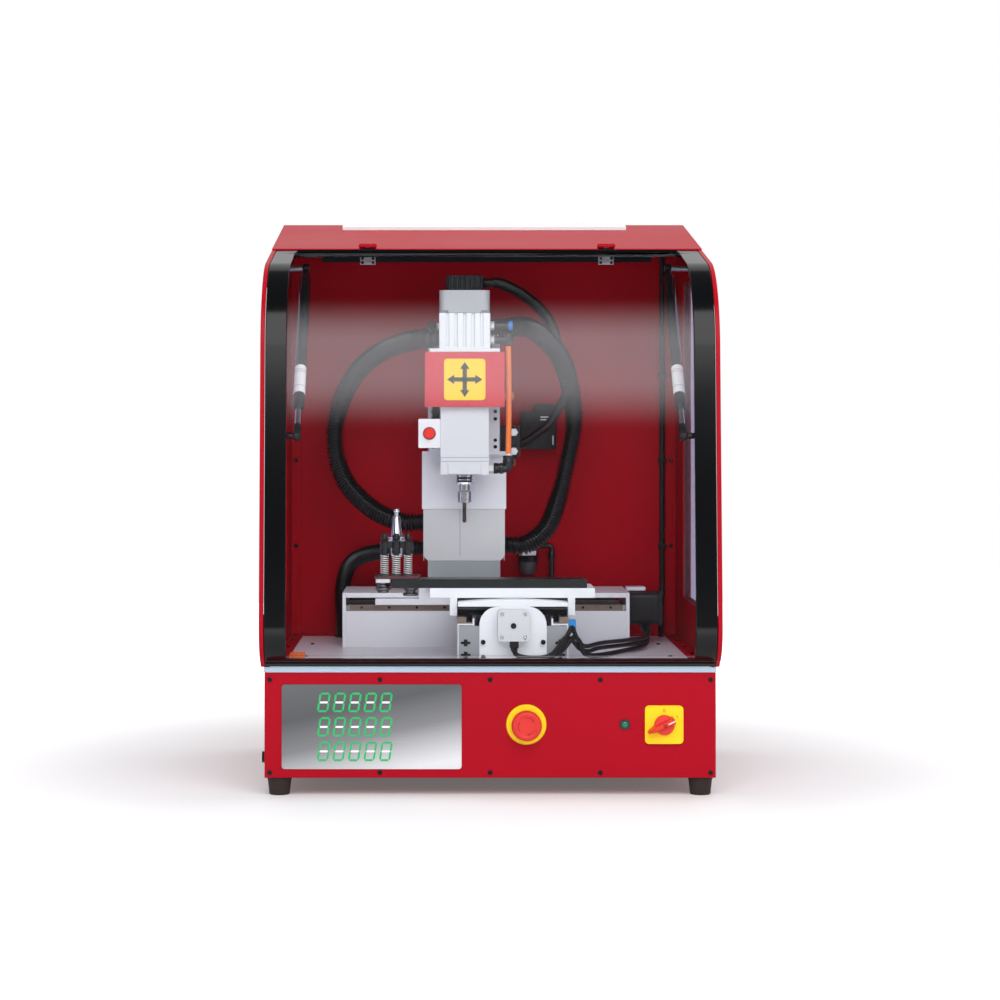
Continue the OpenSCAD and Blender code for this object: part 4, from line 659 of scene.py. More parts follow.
# ---- Gas struts ----
# Black enamelled cylinders with a white label near the rod's end, chromed rods, and moulded ball
# sockets clipped on the studs at both ends.
strut_black = finish("strut_black", shade(24, 25, 28), 0.22, metal=0.3, grain=900, depth=0.00001, extra={"Coat Weight": 0.5})
socket_black = finish("socket_black", shade(18, 18, 19), 0.5, grain=1300, depth=0.00002)
chrome = finish("chromed_rod", shade(205, 208, 212), 0.12, metal=1.0, patch=0.02, grain=700, depth=0.000002)
label_white = finish("label_white", shade(226, 227, 228), 0.5, patch=0.03, grain=1500, depth=0.000005)
label_grey = finish("label_grey", shade(150, 152, 156), 0.5, patch=0.03)
strut_top, strut_low = Vector((0, front + 0.238, deck + 0.54365)), Vector((0, front + 0.004, deck + 0.30715))
strut_len = (strut_top - strut_low).length
lean = atan2(strut_top.y - strut_low.y, strut_top.z - strut_low.z)


def strut_piece(name, look, side, part, *shapes, node=None):
    """Shapes drawn down -Z from the upper pivot, laid along one side's strut."""
    place = Matrix.Translation((side * (liner_x - 0.038), strut_top.y, strut_top.z)) @ Matrix.Rotation(-lean, 4, "X")
    for shape in shapes:
        bmesh.ops.transform(shape, matrix=place, verts=shape.verts)
    word = "left" if side < 0 else "right"
    slot = "chromed_rod" if look is chrome else "strut_black"
    fitted(word + name, look, word + part, slot, *shapes, node=node and word + node)


def ball_socket(z):
    return turned(mm((0, -4.8), (5.6, -4.8), (6.6, -3.4), (6.9, 0), (6.6, 3.4), (5.6, 4.8), (0, 4.8)), 32, (0, 0, z), "X")


for side in SIDES:
    barrel = turned(mm((0, -281.5), (6.2, -281.5), (7.4, -280.5), (7.9, -278.5), (7.9, -20.5), (7, -18.5), (5.2, -17.8),
                       (5.2, -16), (0, -16)))
    neck = turned(mm((0, -17), (4.5, -17), (4.8, -6), (4, -4), (0, -4)), 32)
    strut_piece("_barrel", strut_black, side, "_cylinder", barrel, neck, node="_strut_cylinder")
    strut_piece("_upper_socket", socket_black, side, "_cylinder", ball_socket(0))
    strut_piece("_label", label_white, side, "_cylinder", turned(mm((7.9, -256), (7.98, -256), (7.98, -204), (7.9, -204))))
    strut_piece("_label_lines", label_grey, side, "_cylinder", *[
        turned(mm((7.97, z - 1.1), (8.01, z - 1.1), (8.01, z), (7.97, z))) for z in (-212, -216, -243)])
    rod = [(0, 0.010 - strut_len), (0.004, 0.010 - strut_len), (0.004, -0.1), (0, -0.1)]
    strut_piece("_rod", chrome, side, "_rod", turned(rod, 32), node="_strut_rod")
    sleeve = mm((0, 2), (4.6, 4), (5, 8), (5, 18), (4.4, 20), (0, 20), mid=(0, -strut_len))
    strut_piece("_lower_socket", socket_black, side, "_rod", turned(sleeve, 32), ball_socket(-strut_len))

# ---- Linear units ----
# Extruded aluminium beds with ground rails on their walls, closed by plates and strips of white
# anodised aluminium. Motors are bolted to the end plates.
bed_alu = finish("bed_aluminium", shade(226, 229, 233), 0.36, metal=0.0, grain=1400, depth=0.00001, stretch=(0.05, 0.05, 1))
white_metal = finish("white_metal", shade(232, 235, 238), 0.4, metal=0.0, grain=1600, depth=0.00001)
rail_brown = finish("rail_brown", shade(122, 108, 98), 0.35, metal=0.5, grain=1200, depth=0.00001)
bright = finish("bright_steel", shade(200, 202, 205), 0.2, metal=0.9, grain=900, depth=0.000005)
motor_black = finish("motor_black", shade(44, 44, 45), 0.42, metal=0.2, grain=1200, depth=0.00002)
motor_grey = finish("motor_grey", shade(206, 208, 211), 0.4, metal=0.1, grain=1600, depth=0.00001)
for node, look, edge in (
        ("axis_profiles", bed_alu, 0.0004), ("guide_rails", rail_brown, 0.0002), ("unit_covers", white_metal, 0.0006),
        ("x_screw", bright, 0), ("y_screw", bright, 0), ("x_motor", motor_black, 0.0006), ("y_motor", motor_grey, 0.0005)):
    dressed(node, look, edge)
motor_low, motor_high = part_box("y_motor")
bed_x, bed_z = (motor_low.x + motor_high.x) / 2, (motor_low.z + motor_high.z) / 2
plate_y, bolt_half = motor_high.y - 0.005, 0.0155
fitted("motor_centre", black_steel, "machine", "black_steel", turned(
    mm((0, 0), (2.6, 0), (3.4, 0.3), (3.8, 1), (0, 1)), 40, (bed_x, motor_low.y + 0.0002, bed_z), "-Y"))
spots = [((bed_x + across * bolt_half, motor_low.y, bed_z + up * bolt_half), OUT) for across in SIDES for up in SIDES]
set_out("motor_screws", bright, "machine", spots, screw_head(0.0021, 0.0014))
spots = [((bed_x + side * 0.0405, plate_y + 0.0002, deck + z), OUT) for side in SIDES for z in (0.008, 0.0285)]
set_out("plate_screws", black_steel, "machine", spots, screw_head(0.0033, 0.0022))
# Painted shade: the rail's bolt holes are flat black discs, standing for the shade in the hollows.
hole_shade_disc = joined("disc", turned(mm((0, 0), (1.9, 0), (1.9, 0.2), (0, 0.2)), 20))
spots = [((0.040 * k + 0.020, front + 0.297, deck + 0.0575), OUT) for k in range(-5, 5)]
set_out("rail_holes", black_steel, "machine", spots, hole_shade_disc)
end_grey = finish("end_grey", shade(150, 153, 157), 0.42, metal=0.3, grain=1400, depth=0.00001)
fitted("bed_ends", end_grey, "machine", "profile_aluminium", *[
    prism(oblong(bed_x + side * 0.0450, bed_x + side * 0.0730, deck + 0.0006, deck + 0.0500), front + 0.0570, front + 0.0598, "Y")
    for side in SIDES])
# Painted shade: thin black slot outlines on the end plates stand for the shade inside the profile's slots.
quarter = [(-6.5, 1.8), (-2.5, 1.8), (-2.5, 4.6)]
slot = quarter + [(-a, b) for a, b in reversed(quarter)]
slot += [(a, -b) for a, b in reversed(slot)]
fitted("bed_slots", black_steel, "machine", "profile_aluminium", *[
    prism(mm(*slot, mid=(bed_x + side * 0.0640, deck + z)), front + 0.0569, front + 0.0572, "Y")
    for side in SIDES for z in (0.0270, 0.0105)])
motor_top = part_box("x_motor")[1].z
fitted("motor_bracket", white_metal, "machine", "motor_black", prism(
    rounded_outline(0.0280, 0.0300, 0.0015, (0.2225, front + 0.385)), motor_top + 0.0001, motor_top + 0.0050), edge=0.0005)
spots = [((bed_x + side * 0.0195, plate_y + 0.0075, deck + 0.0759), UP) for side in SIDES]
set_out("cover_screws", black_steel, "machine", spots, screw_head(0.0022, 0.0024))
trim = oblong(front + 0.3487, front + 0.3497, deck + 0.0665, deck + 0.0674)
fitted("x_motor_trim", motor_grey, "machine", "motor_grey", prism(trim, 0.2141, 0.2531, "X"))

# ---- Column and guards ----
# A square aluminium column on the cross carriage, with a black end stop near its top. Folded
# steel guards hang before it, brushed upright, and slide inside each other as the head travels. The middle guard is the
# same steel painted lighter than the lower guard, as painted light.
dressed("x_carriage", white_metal, 0.0006)
column_grey = finish("column_grey", shade(196, 199, 203), 0.38, metal=0.4, grain=1200, depth=0.00001, stretch=(1, 1, 0.03))
dressed("column", column_grey, 0.0008)
dressed("z_screw", bright, 0)
column_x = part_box("column")[0].x
fitted("column_cap", black_steel, "carriage", "guard_grey", *[
    prism(oblong(column_x - 0.0006, high_x, front + near, front + far), deck + 0.4530, deck + 0.4690)
    for high_x, near, far in ((column_x, 0.3150, 0.3790), (column_x + 0.0120, 0.2844, 0.2932))], edge=0.0002)
guard_steel = finish("guard_steel", shade(164, 169, 172), 0.34, metal=0.5, patch=0.04, grain=1600,
                     depth=0.000008, stretch=(1, 1, 0.02))
dressed("lower_guard", guard_steel, 0.0003)
# Painted light: the middle guard's steel is a lighter copy of the lower guard's.
guard_steel_painted_lighter = finish("guard_steel_painted_lighter", shade(196, 198, 199), 0.36, metal=0.35, patch=0.03, grain=1600,
                     depth=0.000008, stretch=(1, 1, 0.02))
dressed("middle_guard", guard_steel_painted_lighter, 0.0003)
guard_low, guard_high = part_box("middle_guard")
seam = finish("guard_seam", shade(70, 72, 76), 0.5, metal=0.4)
head_x = (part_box("head_badge")[0].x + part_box("head_badge")[1].x) / 2
fitted("guard_seam", seam, "sliding_guard", "guard_grey", prism(
    oblong(head_x - 0.0062, head_x - 0.0057, guard_low.z + 0.006, guard_high.z - 0.004),
    guard_low.y - 0.00005, guard_low.y + 0.0002, "Y"))

# ---- Head slide and spindle housing ----
# A milled slide that carries a square spindle housing with a split clamp at its foot. Black socket
# screws hold it in pairs along both edges.
slide_piece = dressed("head_slide", white_metal, 0.0003)
house_low, house_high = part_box("spindle_housing")
apron_steel = finish("apron_steel", shade(146, 150, 154), 0.34, metal=0.5, patch=0.06, grain=1600,
                     depth=0.000008, stretch=(0.02, 1, 1))
repaint(slide_piece, apron_steel, lambda c: c.z < house_low.z)
dressed("spindle_housing", finish("housing_white", shade(216, 219, 223), 0.36, patch=0.03, grain=1100, depth=0.00001), 0.0004)
spots = [((head_x + side * 0.0445, house_high.y + 0.0012, house_low.z + z), OUT)
         for side in SIDES for z in (0.0385, 0.0480, 0.0785, 0.0890)]
set_out("slide_screws", black_steel, "head", spots, screw_head(0.0026, 0.0022))
seam_half_w, seam_half_h = 0.0335, 0.0003
fitted("housing_seams", finish("seam_grey", shade(126, 131, 140), 0.5, metal=0.2), "head", "white_metal", *[
    prism(oblong(head_x - seam_half_w, head_x + seam_half_w, house_low.z + z - seam_half_h, house_low.z + z + seam_half_h),
          house_low.y + 0.00285, house_low.y + 0.0034, "Y") for z in (0.0240, 0.0190)])
fitted("slide_gibs", black_steel, "head", "black_steel", prism(
    rounded_outline(0.0100, 0.0290, 0.0012, (head_x - 0.0405, house_low.z + 0.0900)),
    house_high.y - 0.0060, house_high.y + 0.0004, "Y"))

# ---- Head cover ----
# A folded cover in the machine's red over the motor flange, with two small screws at its lower
# corners and a yellow plate: its plain cross of arrows only says that the head moves.
cover_red = finish("cover_red", shade(206, 40, 56), 0.3, depth=0.00003, grain=900,
                   extra={"Coat Weight": 0.3, "Coat Roughness": 0.2})
dressed("head_cover", cover_red, 0.0008)
cover_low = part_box("head_cover")[0]
dressed("head_badge", yellow_plastic, 0.0002)
badge_low, badge_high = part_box("head_badge")
badge_z = (badge_low.z + badge_high.z) / 2
spots = [((head_x + side * 0.050, cover_low.y, cover_low.z + 0.006), OUT) for side in SIDES]
set_out("cover_corner_screws", cover_red, "head", spots, screw_head(0.0022, 0.0006))


def pointer_arm(turn):
    """One arm of the arrow cross, from its middle outwards."""
    c, s = round(cos(turn)), round(sin(turn))
    arm = mm((-3, 0), (3, 0), (3, 14.8), (6.6, 14.8), (0, 24.6), (-6.6, 14.8), (-3, 14.8))
    return prism([(head_x + a * c - b * s, badge_z + a * s + b * c) for a, b in arm],
                 badge_low.y - 0.00012, badge_low.y + 0.0001, "Y")


fitted("badge_arrows", finish("badge_ink", shade(58, 56, 48), 0.5, patch=0.03), "head", "yellow_plastic",
       *[pointer_arm(k * pi / 2) for k in range(4)])

# ---- Spindle motor ----
# A ribbed aluminium block on a white flange, under a cast cap, and the black finned motor on top.
cast_light = finish("cast_light", shade(226, 230, 233), 0.36, metal=0.05, grain=1500, depth=0.00001, stretch=(1, 1, 0.04))
cap_grey = finish("cap_grey", shade(170, 173, 176), 0.42, metal=0.2, grain=900, depth=0.00003)
cap_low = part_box("top_motor")[0].z - 0.0319
repaint(dressed("spindle_motor", cast_light, 0.0008), cap_grey, lambda c: c.z > cap_low)
fin_black = finish("fin_black", shade(26, 28, 31), 0.3, metal=0.35, grain=1200, depth=0.00001, extra={"Coat Weight": 0.3})
dressed("top_motor", fin_black, 0.0005)

# ---- Push button ----
# A small moulded box screwed to the housing, with a round red button in a dark ring.
dressed("button_box", finish("box_white", shade(236, 237, 240), 0.4, patch=0.02, grain=1500, depth=0.00001), 0.0007)
button_red = finish("button_red", shade(238, 48, 36), 0.34, patch=0.03, grain=1500, depth=0.00001, extra={"Coat Weight": 0.3})
dressed("head_button", button_red, 0.0005)
button = middle("head_button")
fitted("button_ring", finish("ring_dark", shade(60, 10, 14), 0.4, patch=0.04), "head", "white_plastic", turned(
    mm((7.6, 0), (9.1, 0), (9.1, 1.2), (8.6, 1.7), (7.8, 1.8), (7.6, 1.5)), 48,
    (button.x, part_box("button_box")[0].y + 0.0015, button.z), "-Y"))

# ---- Spindle ----
# A ground nose with dark rings, a short polished collet holder, and a twisted drill.
polished = finish("polished_steel", shade(214, 216, 218), 0.1, metal=1.0, patch=0.02, grain=800, depth=0.000002)
nose_dark = finish("nose_dark", shade(58, 56, 54), 0.3, metal=0.8)
spin_low, spin_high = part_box("spindle")
spin_x, spin_y = (spin_low.x + spin_high.x) / 2, (spin_low.y + spin_high.y) / 2
nose = mm((0, -15), (8, -15), (10.4, -14.8), (11.8, -14), (12, -13.2), (12, -10.8), (10.6, -10.5), (10.6, -8.8), (12, -8.5),
          (12, -6.4), (10.6, -6.1), (10.6, -4.1), (12, -3.8), (12, -1), (11.8, -0.8), (11.8, 80), (0, 80), mid=(0, house_low.z))
nose_piece = fitted("spindle_nose", polished, "rotor", "chromed_rod", turned(nose, 64, (spin_x, spin_y, 0)), node="spindle")
repaint(nose_piece, nose_dark,
        lambda c: any(low < c.z - house_low.z < high for low, high in ((-0.0062, -0.0039), (-0.0106, -0.0087))))
holder_top = house_low.z - 0.0225
holder = mm((0, -18), (4, -18), (7.8, -18), (10, -16.2), (10, -13.5), (9.4, -13.1), (9.4, -12.2), (10, -11.8), (10, -2.8),
            (9, -1.2), (7.8, 0), (7.8, 7.5), (0, 7.5), mid=(0, holder_top))
fitted("collet_holder", polished, "rotor", "chromed_rod", turned(holder, 64, (spin_x, spin_y, 0)))
drill_r, flute_cut, turns, drill_rings, drill_sides, tip_length = 0.0029, 0.42, 3.2, 60, 20, 0.0016
drill = bmesh.new()
rows, flute_top, tip_z = [], holder_top - 0.0170, spin_low.z
for k in range(drill_rings + 1):
    height = flute_top + (tip_z + tip_length - flute_top) * k / drill_rings
    twist = -2 * pi * turns * max(0, k - 10) / (drill_rings - 10)
    depth = min(1.0, max(0.0, (k - 8) / 6))
    rows.append([])
    for a in (2 * pi * i / drill_sides for i in range(drill_sides)):
        reach = drill_r * (1 - flute_cut * depth * max(0.0, sin(2 * a)) ** 0.7)
        rows[-1].append(drill.verts.new((spin_x + reach * cos(a + twist), spin_y + reach * sin(a + twist), height)))
point = drill.verts.new((spin_x, spin_y, tip_z))
root = drill.verts.new((spin_x, spin_y, flute_top))
for k in range(drill_sides):
    nxt = (k + 1) % drill_sides
    for upper, lower in zip(rows, rows[1:]):
        drill.faces.new((upper[k], upper[nxt], lower[nxt], lower[k]))
    drill.faces.new((rows[-1][k], rows[-1][nxt], point))
    drill.faces.new((rows[0][nxt], rows[0][k], root))
fitted("drill", finish("drill_steel", shade(96, 84, 84), 0.22, metal=0.9), "rotor", "chromed_rod", closed(drill, 40))

# ---- Air line ----
# An orange polyurethane tube pushed into black swivel elbows with a white release ring and white
# hexagon nuts; a blue ring marks the upper elbow. A black manifold stands beside it on the carriage.


def pipe(path, radius, sides=24):
    """A round tube through points, each ring square to the path."""
    shape = bmesh.new()
    rows, spread = [], None
    for k, spot in enumerate(path):
        way = (path[min(k + 1, len(path) - 1)] - path[max(k - 1, 0)]).normalized()
        if spread is None:
            spread = way.orthogonal().normalized()
        spread = (spread - way * spread.dot(way)).normalized()
        second = way.cross(spread)
        rows.append([shape.verts.new(spot + radius * (spread * cos(a) + second * sin(a)))
                     for a in (2 * pi * i / sides for i in range(sides))])
    for low, high in zip(rows, rows[1:]):
        for k in range(sides):
            shape.faces.new((low[k], low[(k + 1) % sides], high[(k + 1) % sides], high[k]))
    shape.faces.new(rows[0])
    shape.faces.new(rows[-1])
    return closed(shape)


def bend(corner, start, end, radius, steps=8):
    """The points of a path from start to end round a rounded corner."""
    a, b = (start - corner).normalized(), (end - corner).normalized()
    arc = [(corner + a * radius * (1 - t) ** 2 + b * radius * t ** 2) for t in (k / steps for k in range(steps + 1))]
    return [start] + arc + [end]


tube_x, tube_y, tube_steps = head_x + 0.062, middle("air_tube").y, 12
tube_low, tube_high = house_low.z + 0.0260, house_low.z + 0.181
orange_tube = finish("orange_tube", shade(250, 130, 66), 0.3, patch=0.04, grain=700, depth=0.00001, extra={"Coat Weight": 0.3})
fitting_black = finish("fitting_black", shade(30, 31, 33), 0.3, grain=1300, depth=0.00001, extra={"Coat Weight": 0.3})
nut_white = finish("nut_white", shade(232, 233, 234), 0.3, metal=0.3)
ring_blue = finish("ring_blue", shade(40, 130, 200), 0.35, patch=0.03)
fitted("air_hose", orange_tube, "head", "orange_plastic", pipe([
    Vector((tube_x + 0.0008 * sin(pi * k / tube_steps), tube_y, tube_low + (tube_high - tube_low) * k / tube_steps))
    for k in range(tube_steps + 1)], 0.004), node="air_tube")
elbow_z = house_low.z + 0.0085
lower = bend(Vector((tube_x, tube_y, elbow_z)), Vector((tube_x, tube_y, elbow_z + 0.0160)),
             Vector((head_x + 0.0420, tube_y, elbow_z)), 0.0055)
fitted("lower_elbow", fitting_black, "head", "black_plastic", pipe(lower, 0.0062),
       turned(mm((4, 0), (7.8, 0), (8, 1.5), (8, 7.5), (7.4, 8.8), (7.4, 9.8), (7.9, 10.8), (7.9, 12.8), (7, 13.8), (4.2, 14.2)),
              40, (tube_x, tube_y, elbow_z + 0.0042)),
       turned(mm((0, 0), (7.2, 0), (7.8, 1.2), (7.8, 5.2), (7, 6.2), (7, 7.8), (7.8, 8.8), (7.8, 13), (7, 14.2), (0, 14.2)),
              40, (head_x + 0.0412, tube_y, elbow_z), "X"))
fitted("lower_nut", nut_white, "head", "white_metal", turned(
    mm((0, 0), (7.2, 0, 6), (7.6, 1, 6), (7.6, 6.2, 6), (7, 7.2, 6), (0, 7.2)), 48, (head_x + 0.0340, tube_y, elbow_z), "X"))
fitted("release_rings", nut_white, "head", "white_metal", turned(
    mm((4.1, 0), (5.8, 0), (5.8, 1.8), (4.8, 2.4), (4.1, 2.4)), 32, (tube_x, tube_y, elbow_z + 0.0183)))
fitted("manifold", fitting_black, "carriage", "black_plastic",
       prism(rounded_outline(0.0300, 0.0450, 0.0020, (0.0353, deck + 0.2980)), front + 0.3240, front + 0.3440, "Y"),
       turned(mm((0, 0), (5, 0), (5, 4), (0, 4)), 32, (0.0400, front + 0.3300, deck + 0.2718)), edge=0.0006)
plug = mm((0, 0), (5.6, 0, 6), (6, 0.6, 6), (6, 4.6, 6), (5.4, 5.4, 6), (0, 5.4))
fitted("manifold_plugs", nut_white, "carriage", "black_plastic", *[
    turned(plug, 36, (0.0410, front + 0.3242, deck + z), "-Y") for z in (0.3105, 0.2830)])
bronze = finish("bronze", shade(150, 84, 52), 0.45, metal=0.5, grain=1400, depth=0.00002)
fitted("manifold_filter", bronze, "carriage", "black_plastic", turned(
    mm((0, 0), (3.6, 0), (4.2, 0.8), (4.2, 11), (0, 11)), 32, (0.0400, front + 0.3300, deck + 0.2608)))
port_z, upper_z = house_low.z + 0.190, house_low.z + 0.2100
port = bend(Vector((tube_x, tube_y, port_z)), Vector((tube_x, tube_y, port_z - 0.0060)),
            Vector((head_x + 0.0440, tube_y, port_z)), 0.0050)
fitted("upper_elbow", fitting_black, "head", "black_plastic", pipe(port, 0.0056),
       turned(mm((4, 0), (6.2, 0), (7, 2), (7, 11), (5.8, 15), (0, 15.2)), 40, (tube_x, tube_y, port_z - 0.0070)),
       turned(mm((0, 0), (5, 0), (5, 14), (6.2, 15), (6.2, 19), (0, 19)), 40, (head_x + 0.0420, tube_y, port_z), "X"),
       turned(mm((0, 0), (5.2, 0), (5.2, 12), (6, 13), (6, 20), (5.2, 20.5), (0, 20.5)), 40,
              (head_x + 0.0420, tube_y, upper_z), "X"))
nut = mm((0, 0), (5.8, 0, 6), (6.2, 0.8, 6), (6.2, 5.6, 6), (5.6, 6.4, 6), (0, 6.4))
fitted("port_nuts", nut_white, "head", "white_metal", *[
    turned(nut, 48, (head_x + 0.0358, tube_y, z), "X") for z in (port_z, upper_z)])
fitted("blue_ring", ring_blue, "head", "orange_plastic", turned(
    mm((3.6, 0), (6.2, 0), (6.6, 1.2), (6.6, 5.2), (5.8, 6), (3.6, 6)), 40, (head_x + 0.0622, tube_y, upper_z), "X"))

# ---- Corrugated hoses ----
# Split nylon conduit with round ribs. The two big loops and the branch hose are held at both ends,
# and the floor hose runs down from the carriage; all four are fixed meshes in one pose, on no moving body.


def hose_tree():
    """The nodes that turn a path into conduit: rings along it, wider at each rib."""
    flow, path, radius, pitch, depth, coat = new_tree(
        "ribbed_hose", "Hose", "Path:Geometry", "Hose Radius:Float", "Rib Pitch:Float", "Rib Depth:Float", "Finish:Material")
    line = flow.node("GeometryNodeMeshToCurve", None, {"Mesh": path})
    even = flow.node("GeometryNodeResampleCurve", {"mode": "LENGTH"}, {"Curve": line, "Length": pitch * (1 / 6)})
    along = flow.node("GeometryNodeSplineParameter", out=1)
    wave = flow.maths("COSINE", flow.maths("DIVIDE", along, pitch) * (2 * pi))
    round_top = flow.maths("POWER", wave * 0.5 + 0.5, 1.2)
    swell = 1.0 - depth * (1.0 - round_top)
    section = flow.node("GeometryNodeCurvePrimitiveCircle", None, {"Resolution": 24, "Radius": radius})
    skin = flow.node("GeometryNodeCurveToMesh", None, {"Curve": even, "Profile Curve": section, "Scale": swell, "Fill Caps": True})
    return end_tree(flow, "Hose", flow.node("GeometryNodeSetShadeSmooth", None, {"Geometry": skin}), coat)


def smooth_path(points, steps):
    """An even curve through the points, given in millimetres: across, behind the front, up."""
    spots = [Vector((x / 1000, front + d / 1000, z / 1000)) for x, d, z in points]
    path = []
    for k in range(len(spots) - 1):
        a, b, c, d = spots[max(k - 1, 0)], spots[k], spots[k + 1], spots[min(k + 2, len(spots) - 1)]
        for t in (j / steps for j in range(steps)):
            path.append(0.5 * (2 * b + (c - a) * t + (2 * a - 5 * b + 4 * c - d) * t * t + (3 * b - a - 3 * c + d) * t ** 3))
    return path + [spots[-1]]


def conduit(name, points, radius, body, node=None, pitch=0.0046):
    """A hose through the points, as one plain mesh."""
    path = smooth_path(points, 10)
    line = bpy.data.meshes.new("line")
    line.from_pydata(path, [(k, k + 1) for k in range(len(path) - 1)], [])
    mesh = worked(line, ribbed, {"Hose Radius": radius, "Rib Pitch": pitch, "Rib Depth": 0.34, "Finish": hose_black})
    shape = bmesh.new()
    shape.from_mesh(mesh)
    bmesh.ops.remove_doubles(shape, verts=shape.verts, dist=1e-7)
    bmesh.ops.recalc_face_normals(shape, faces=shape.faces)
    shape.to_mesh(mesh)
    shape.free()
    return kept(name, mesh, hose_black, body, node)


ribbed = hose_tree()
hose_black = finish("hose_black", shade(10, 11, 12), 0.24, patch=0.08, grain=900, depth=0.00001, gloss=0.5,
                    extra={"Coat Weight": 0.3})
left_hose = conduit("left_hose", [
    (-68, 240, 616), (-76, 240, 616), (-84, 240, 616), (-106, 258, 614), (-147, 320, 602), (-184, 366, 576), (-209, 393, 537),
    (-222, 405, 493), (-222, 405, 456), (-215, 400, 427), (-198, 388, 397), (-162, 366, 366), (-122, 350, 350), (-104, 350, 350),
    (-84.3, 350, 350)], 0.0145, None, "head_hoses")
right_hose = conduit("right_hose", [
    (4, 236, 632), (18, 236, 632), (32, 236, 632), (60, 256, 632), (86, 300, 617), (110, 340, 590), (124, 365, 552), (131, 380, 509),
    (130, 385, 478), (122, 385, 440), (110, 380, 390), (90, 362, 340), (58, 350, 317), (40, 350, 317), (20.3, 350, 317)],
    0.0145, None)
conduit("top_hose", [
    (-5.5, 230, 694), (6, 230, 694), (18, 230, 694), (50, 252, 680), (80, 280, 657), (98, 306, 630), (104, 328, 600)],
    0.008, "head", pitch=0.0030)
branch_hose = conduit("branch_hose", [
    (20.3, 330, 462), (34, 330, 462), (48, 330, 463), (75, 334, 480), (97, 342, 500), (122, 362, 545)], 0.007, None, pitch=0.0030)
for hose, low, high in ((left_hose, 0.350, 0.632), (right_hose, 0.317, 0.632), (branch_hose, 0.462, 0.62)):
    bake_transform(hose)
floor_hose = conduit("floor_hose", [
    (-84.3, 360, 312), (-100, 360, 312), (-116, 360, 312), (-150, 385, 306), (-183, 420, 297), (-203, 446, 281), (-213, 464, 252),
    (-215, 472, 222), (-214, 472, 198), (-214, 472, 185), (-214, 472, 171.5)], 0.012, None, "floor_hose", pitch=0.0038)
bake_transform(floor_hose)

# ---- Table ----
# A white anodised plate with one cut corner, bolted over the long unit's carriage, and a black
# oxide steel bar across it for clamping work.
# Faces of the table's front, 88.5 to 89.5 mm behind the front and below deck + 72 mm, are painted near-black, for the
# dark line along there.
table_front_black = finish("table_front_black", shade(24, 24, 26), 0.5, patch=0.03, gloss=0.15)
repaint(dressed("table", white_metal, 0.0008), table_front_black,
        lambda c: front + 0.0885 < c.y < front + 0.0895 and c.z < deck + 0.0720)
bar_black = finish("bar_black", shade(38, 40, 41), 0.4, metal=0.5, grain=1100, depth=0.00001, stretch=(0.04, 1, 1))
dressed("clamp_bar", bar_black, 0.0007)

# ---- Tool stand ----
# A plate on the bar's left end over a white foot, stood off on dark washers. Coil springs carry
# three black sleeves, and the cradle between them holds a tool with a polished taper.


def washer(radius, z, spot):
    """A washer with broken edges, its radius in millimetres."""
    return turned(mm((0, 0), (radius - 0.7, 0), (radius, 0.6), (radius, 3.35), (radius - 0.7, 3.95), (0, 3.95), mid=(0, z)),
                  40, (*spot, 0))


def bored(inner, outer, low, high):
    """The outline of a plain bored sleeve."""
    return oblong(inner, outer, low, high) + [(inner, low)]


def at_posts(outline, sides):
    """The same turned shape at each of the three posts."""
    return [turned(outline, sides, (x, y, 0)) for x, y in post_spots]


stand_low, stand_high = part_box("tool_base")
bar_low, bar_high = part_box("clamp_bar")
post_spots = [(bar_low.x + 0.007 + k * 0.016, bar_low.y + 0.016 + 0.002 * abs(k)) for k in (-1, 0, 1)]
stand_white = finish("stand_white", shade(206, 210, 214), 0.38, metal=0.25, grain=1500, depth=0.00001)
stand_mid = ((stand_low.x + bar_low.x + 0.040) / 2, bar_low.y + 0.025)
fitted("stand_block", stand_white, "work_table", "profile_aluminium", prism(
    rounded_outline(0.0200, 0.0486, 0.002, (bar_low.x - 0.0108, stand_mid[1])), bar_high.z - 0.0050, bar_high.z + 0.0001),
    node="tool_base", edge=0.0005)
# The stand plate's dark reddish grey is partly painted: grey steel, with a painted reflection of the red walls in its
# red tint.
stand_red_reflection = finish("stand_red_reflection", shade(92, 62, 64), 0.4, metal=0.4, patch=0.06, grain=700, depth=0.000003, gloss=0.1)
fitted("stand_plate", stand_red_reflection, "work_table", "profile_aluminium", prism(
    rounded_outline(0.0625, 0.047, 0.002, stand_mid), bar_high.z, bar_high.z + 0.004), edge=0.0004)
washer_steel = finish("washer_steel", shade(110, 110, 112), 0.3, metal=0.85, grain=1200, depth=0.00001)
washer_y = bar_low.y + 0.024
fitted("stand_washers", washer_steel, "work_table", "profile_aluminium",
       *[washer(r, bar_high.z - 0.020 + z, (stand_low.x + 0.012, washer_y))
         for z, r in ((0, 8), (0.004, 10.5), (0.008, 8), (0.012, 10.5), (0.016, 8))],
       *[washer(r, bar_low.z - 0.012 + z, (stand_high.x - 0.0135, washer_y)) for z, r in ((0, 10.5), (0.004, 7), (0.008, 9.5))])
fitted("post_collars", washer_steel, "work_table", "profile_aluminium", *at_posts(
    mm((2.1, 3.9), (7.2, 3.9), (7.2, 5.3), (6.6, 6), (2.1, 6), (2.1, 3.9), mid=(0, bar_high.z)), 40))


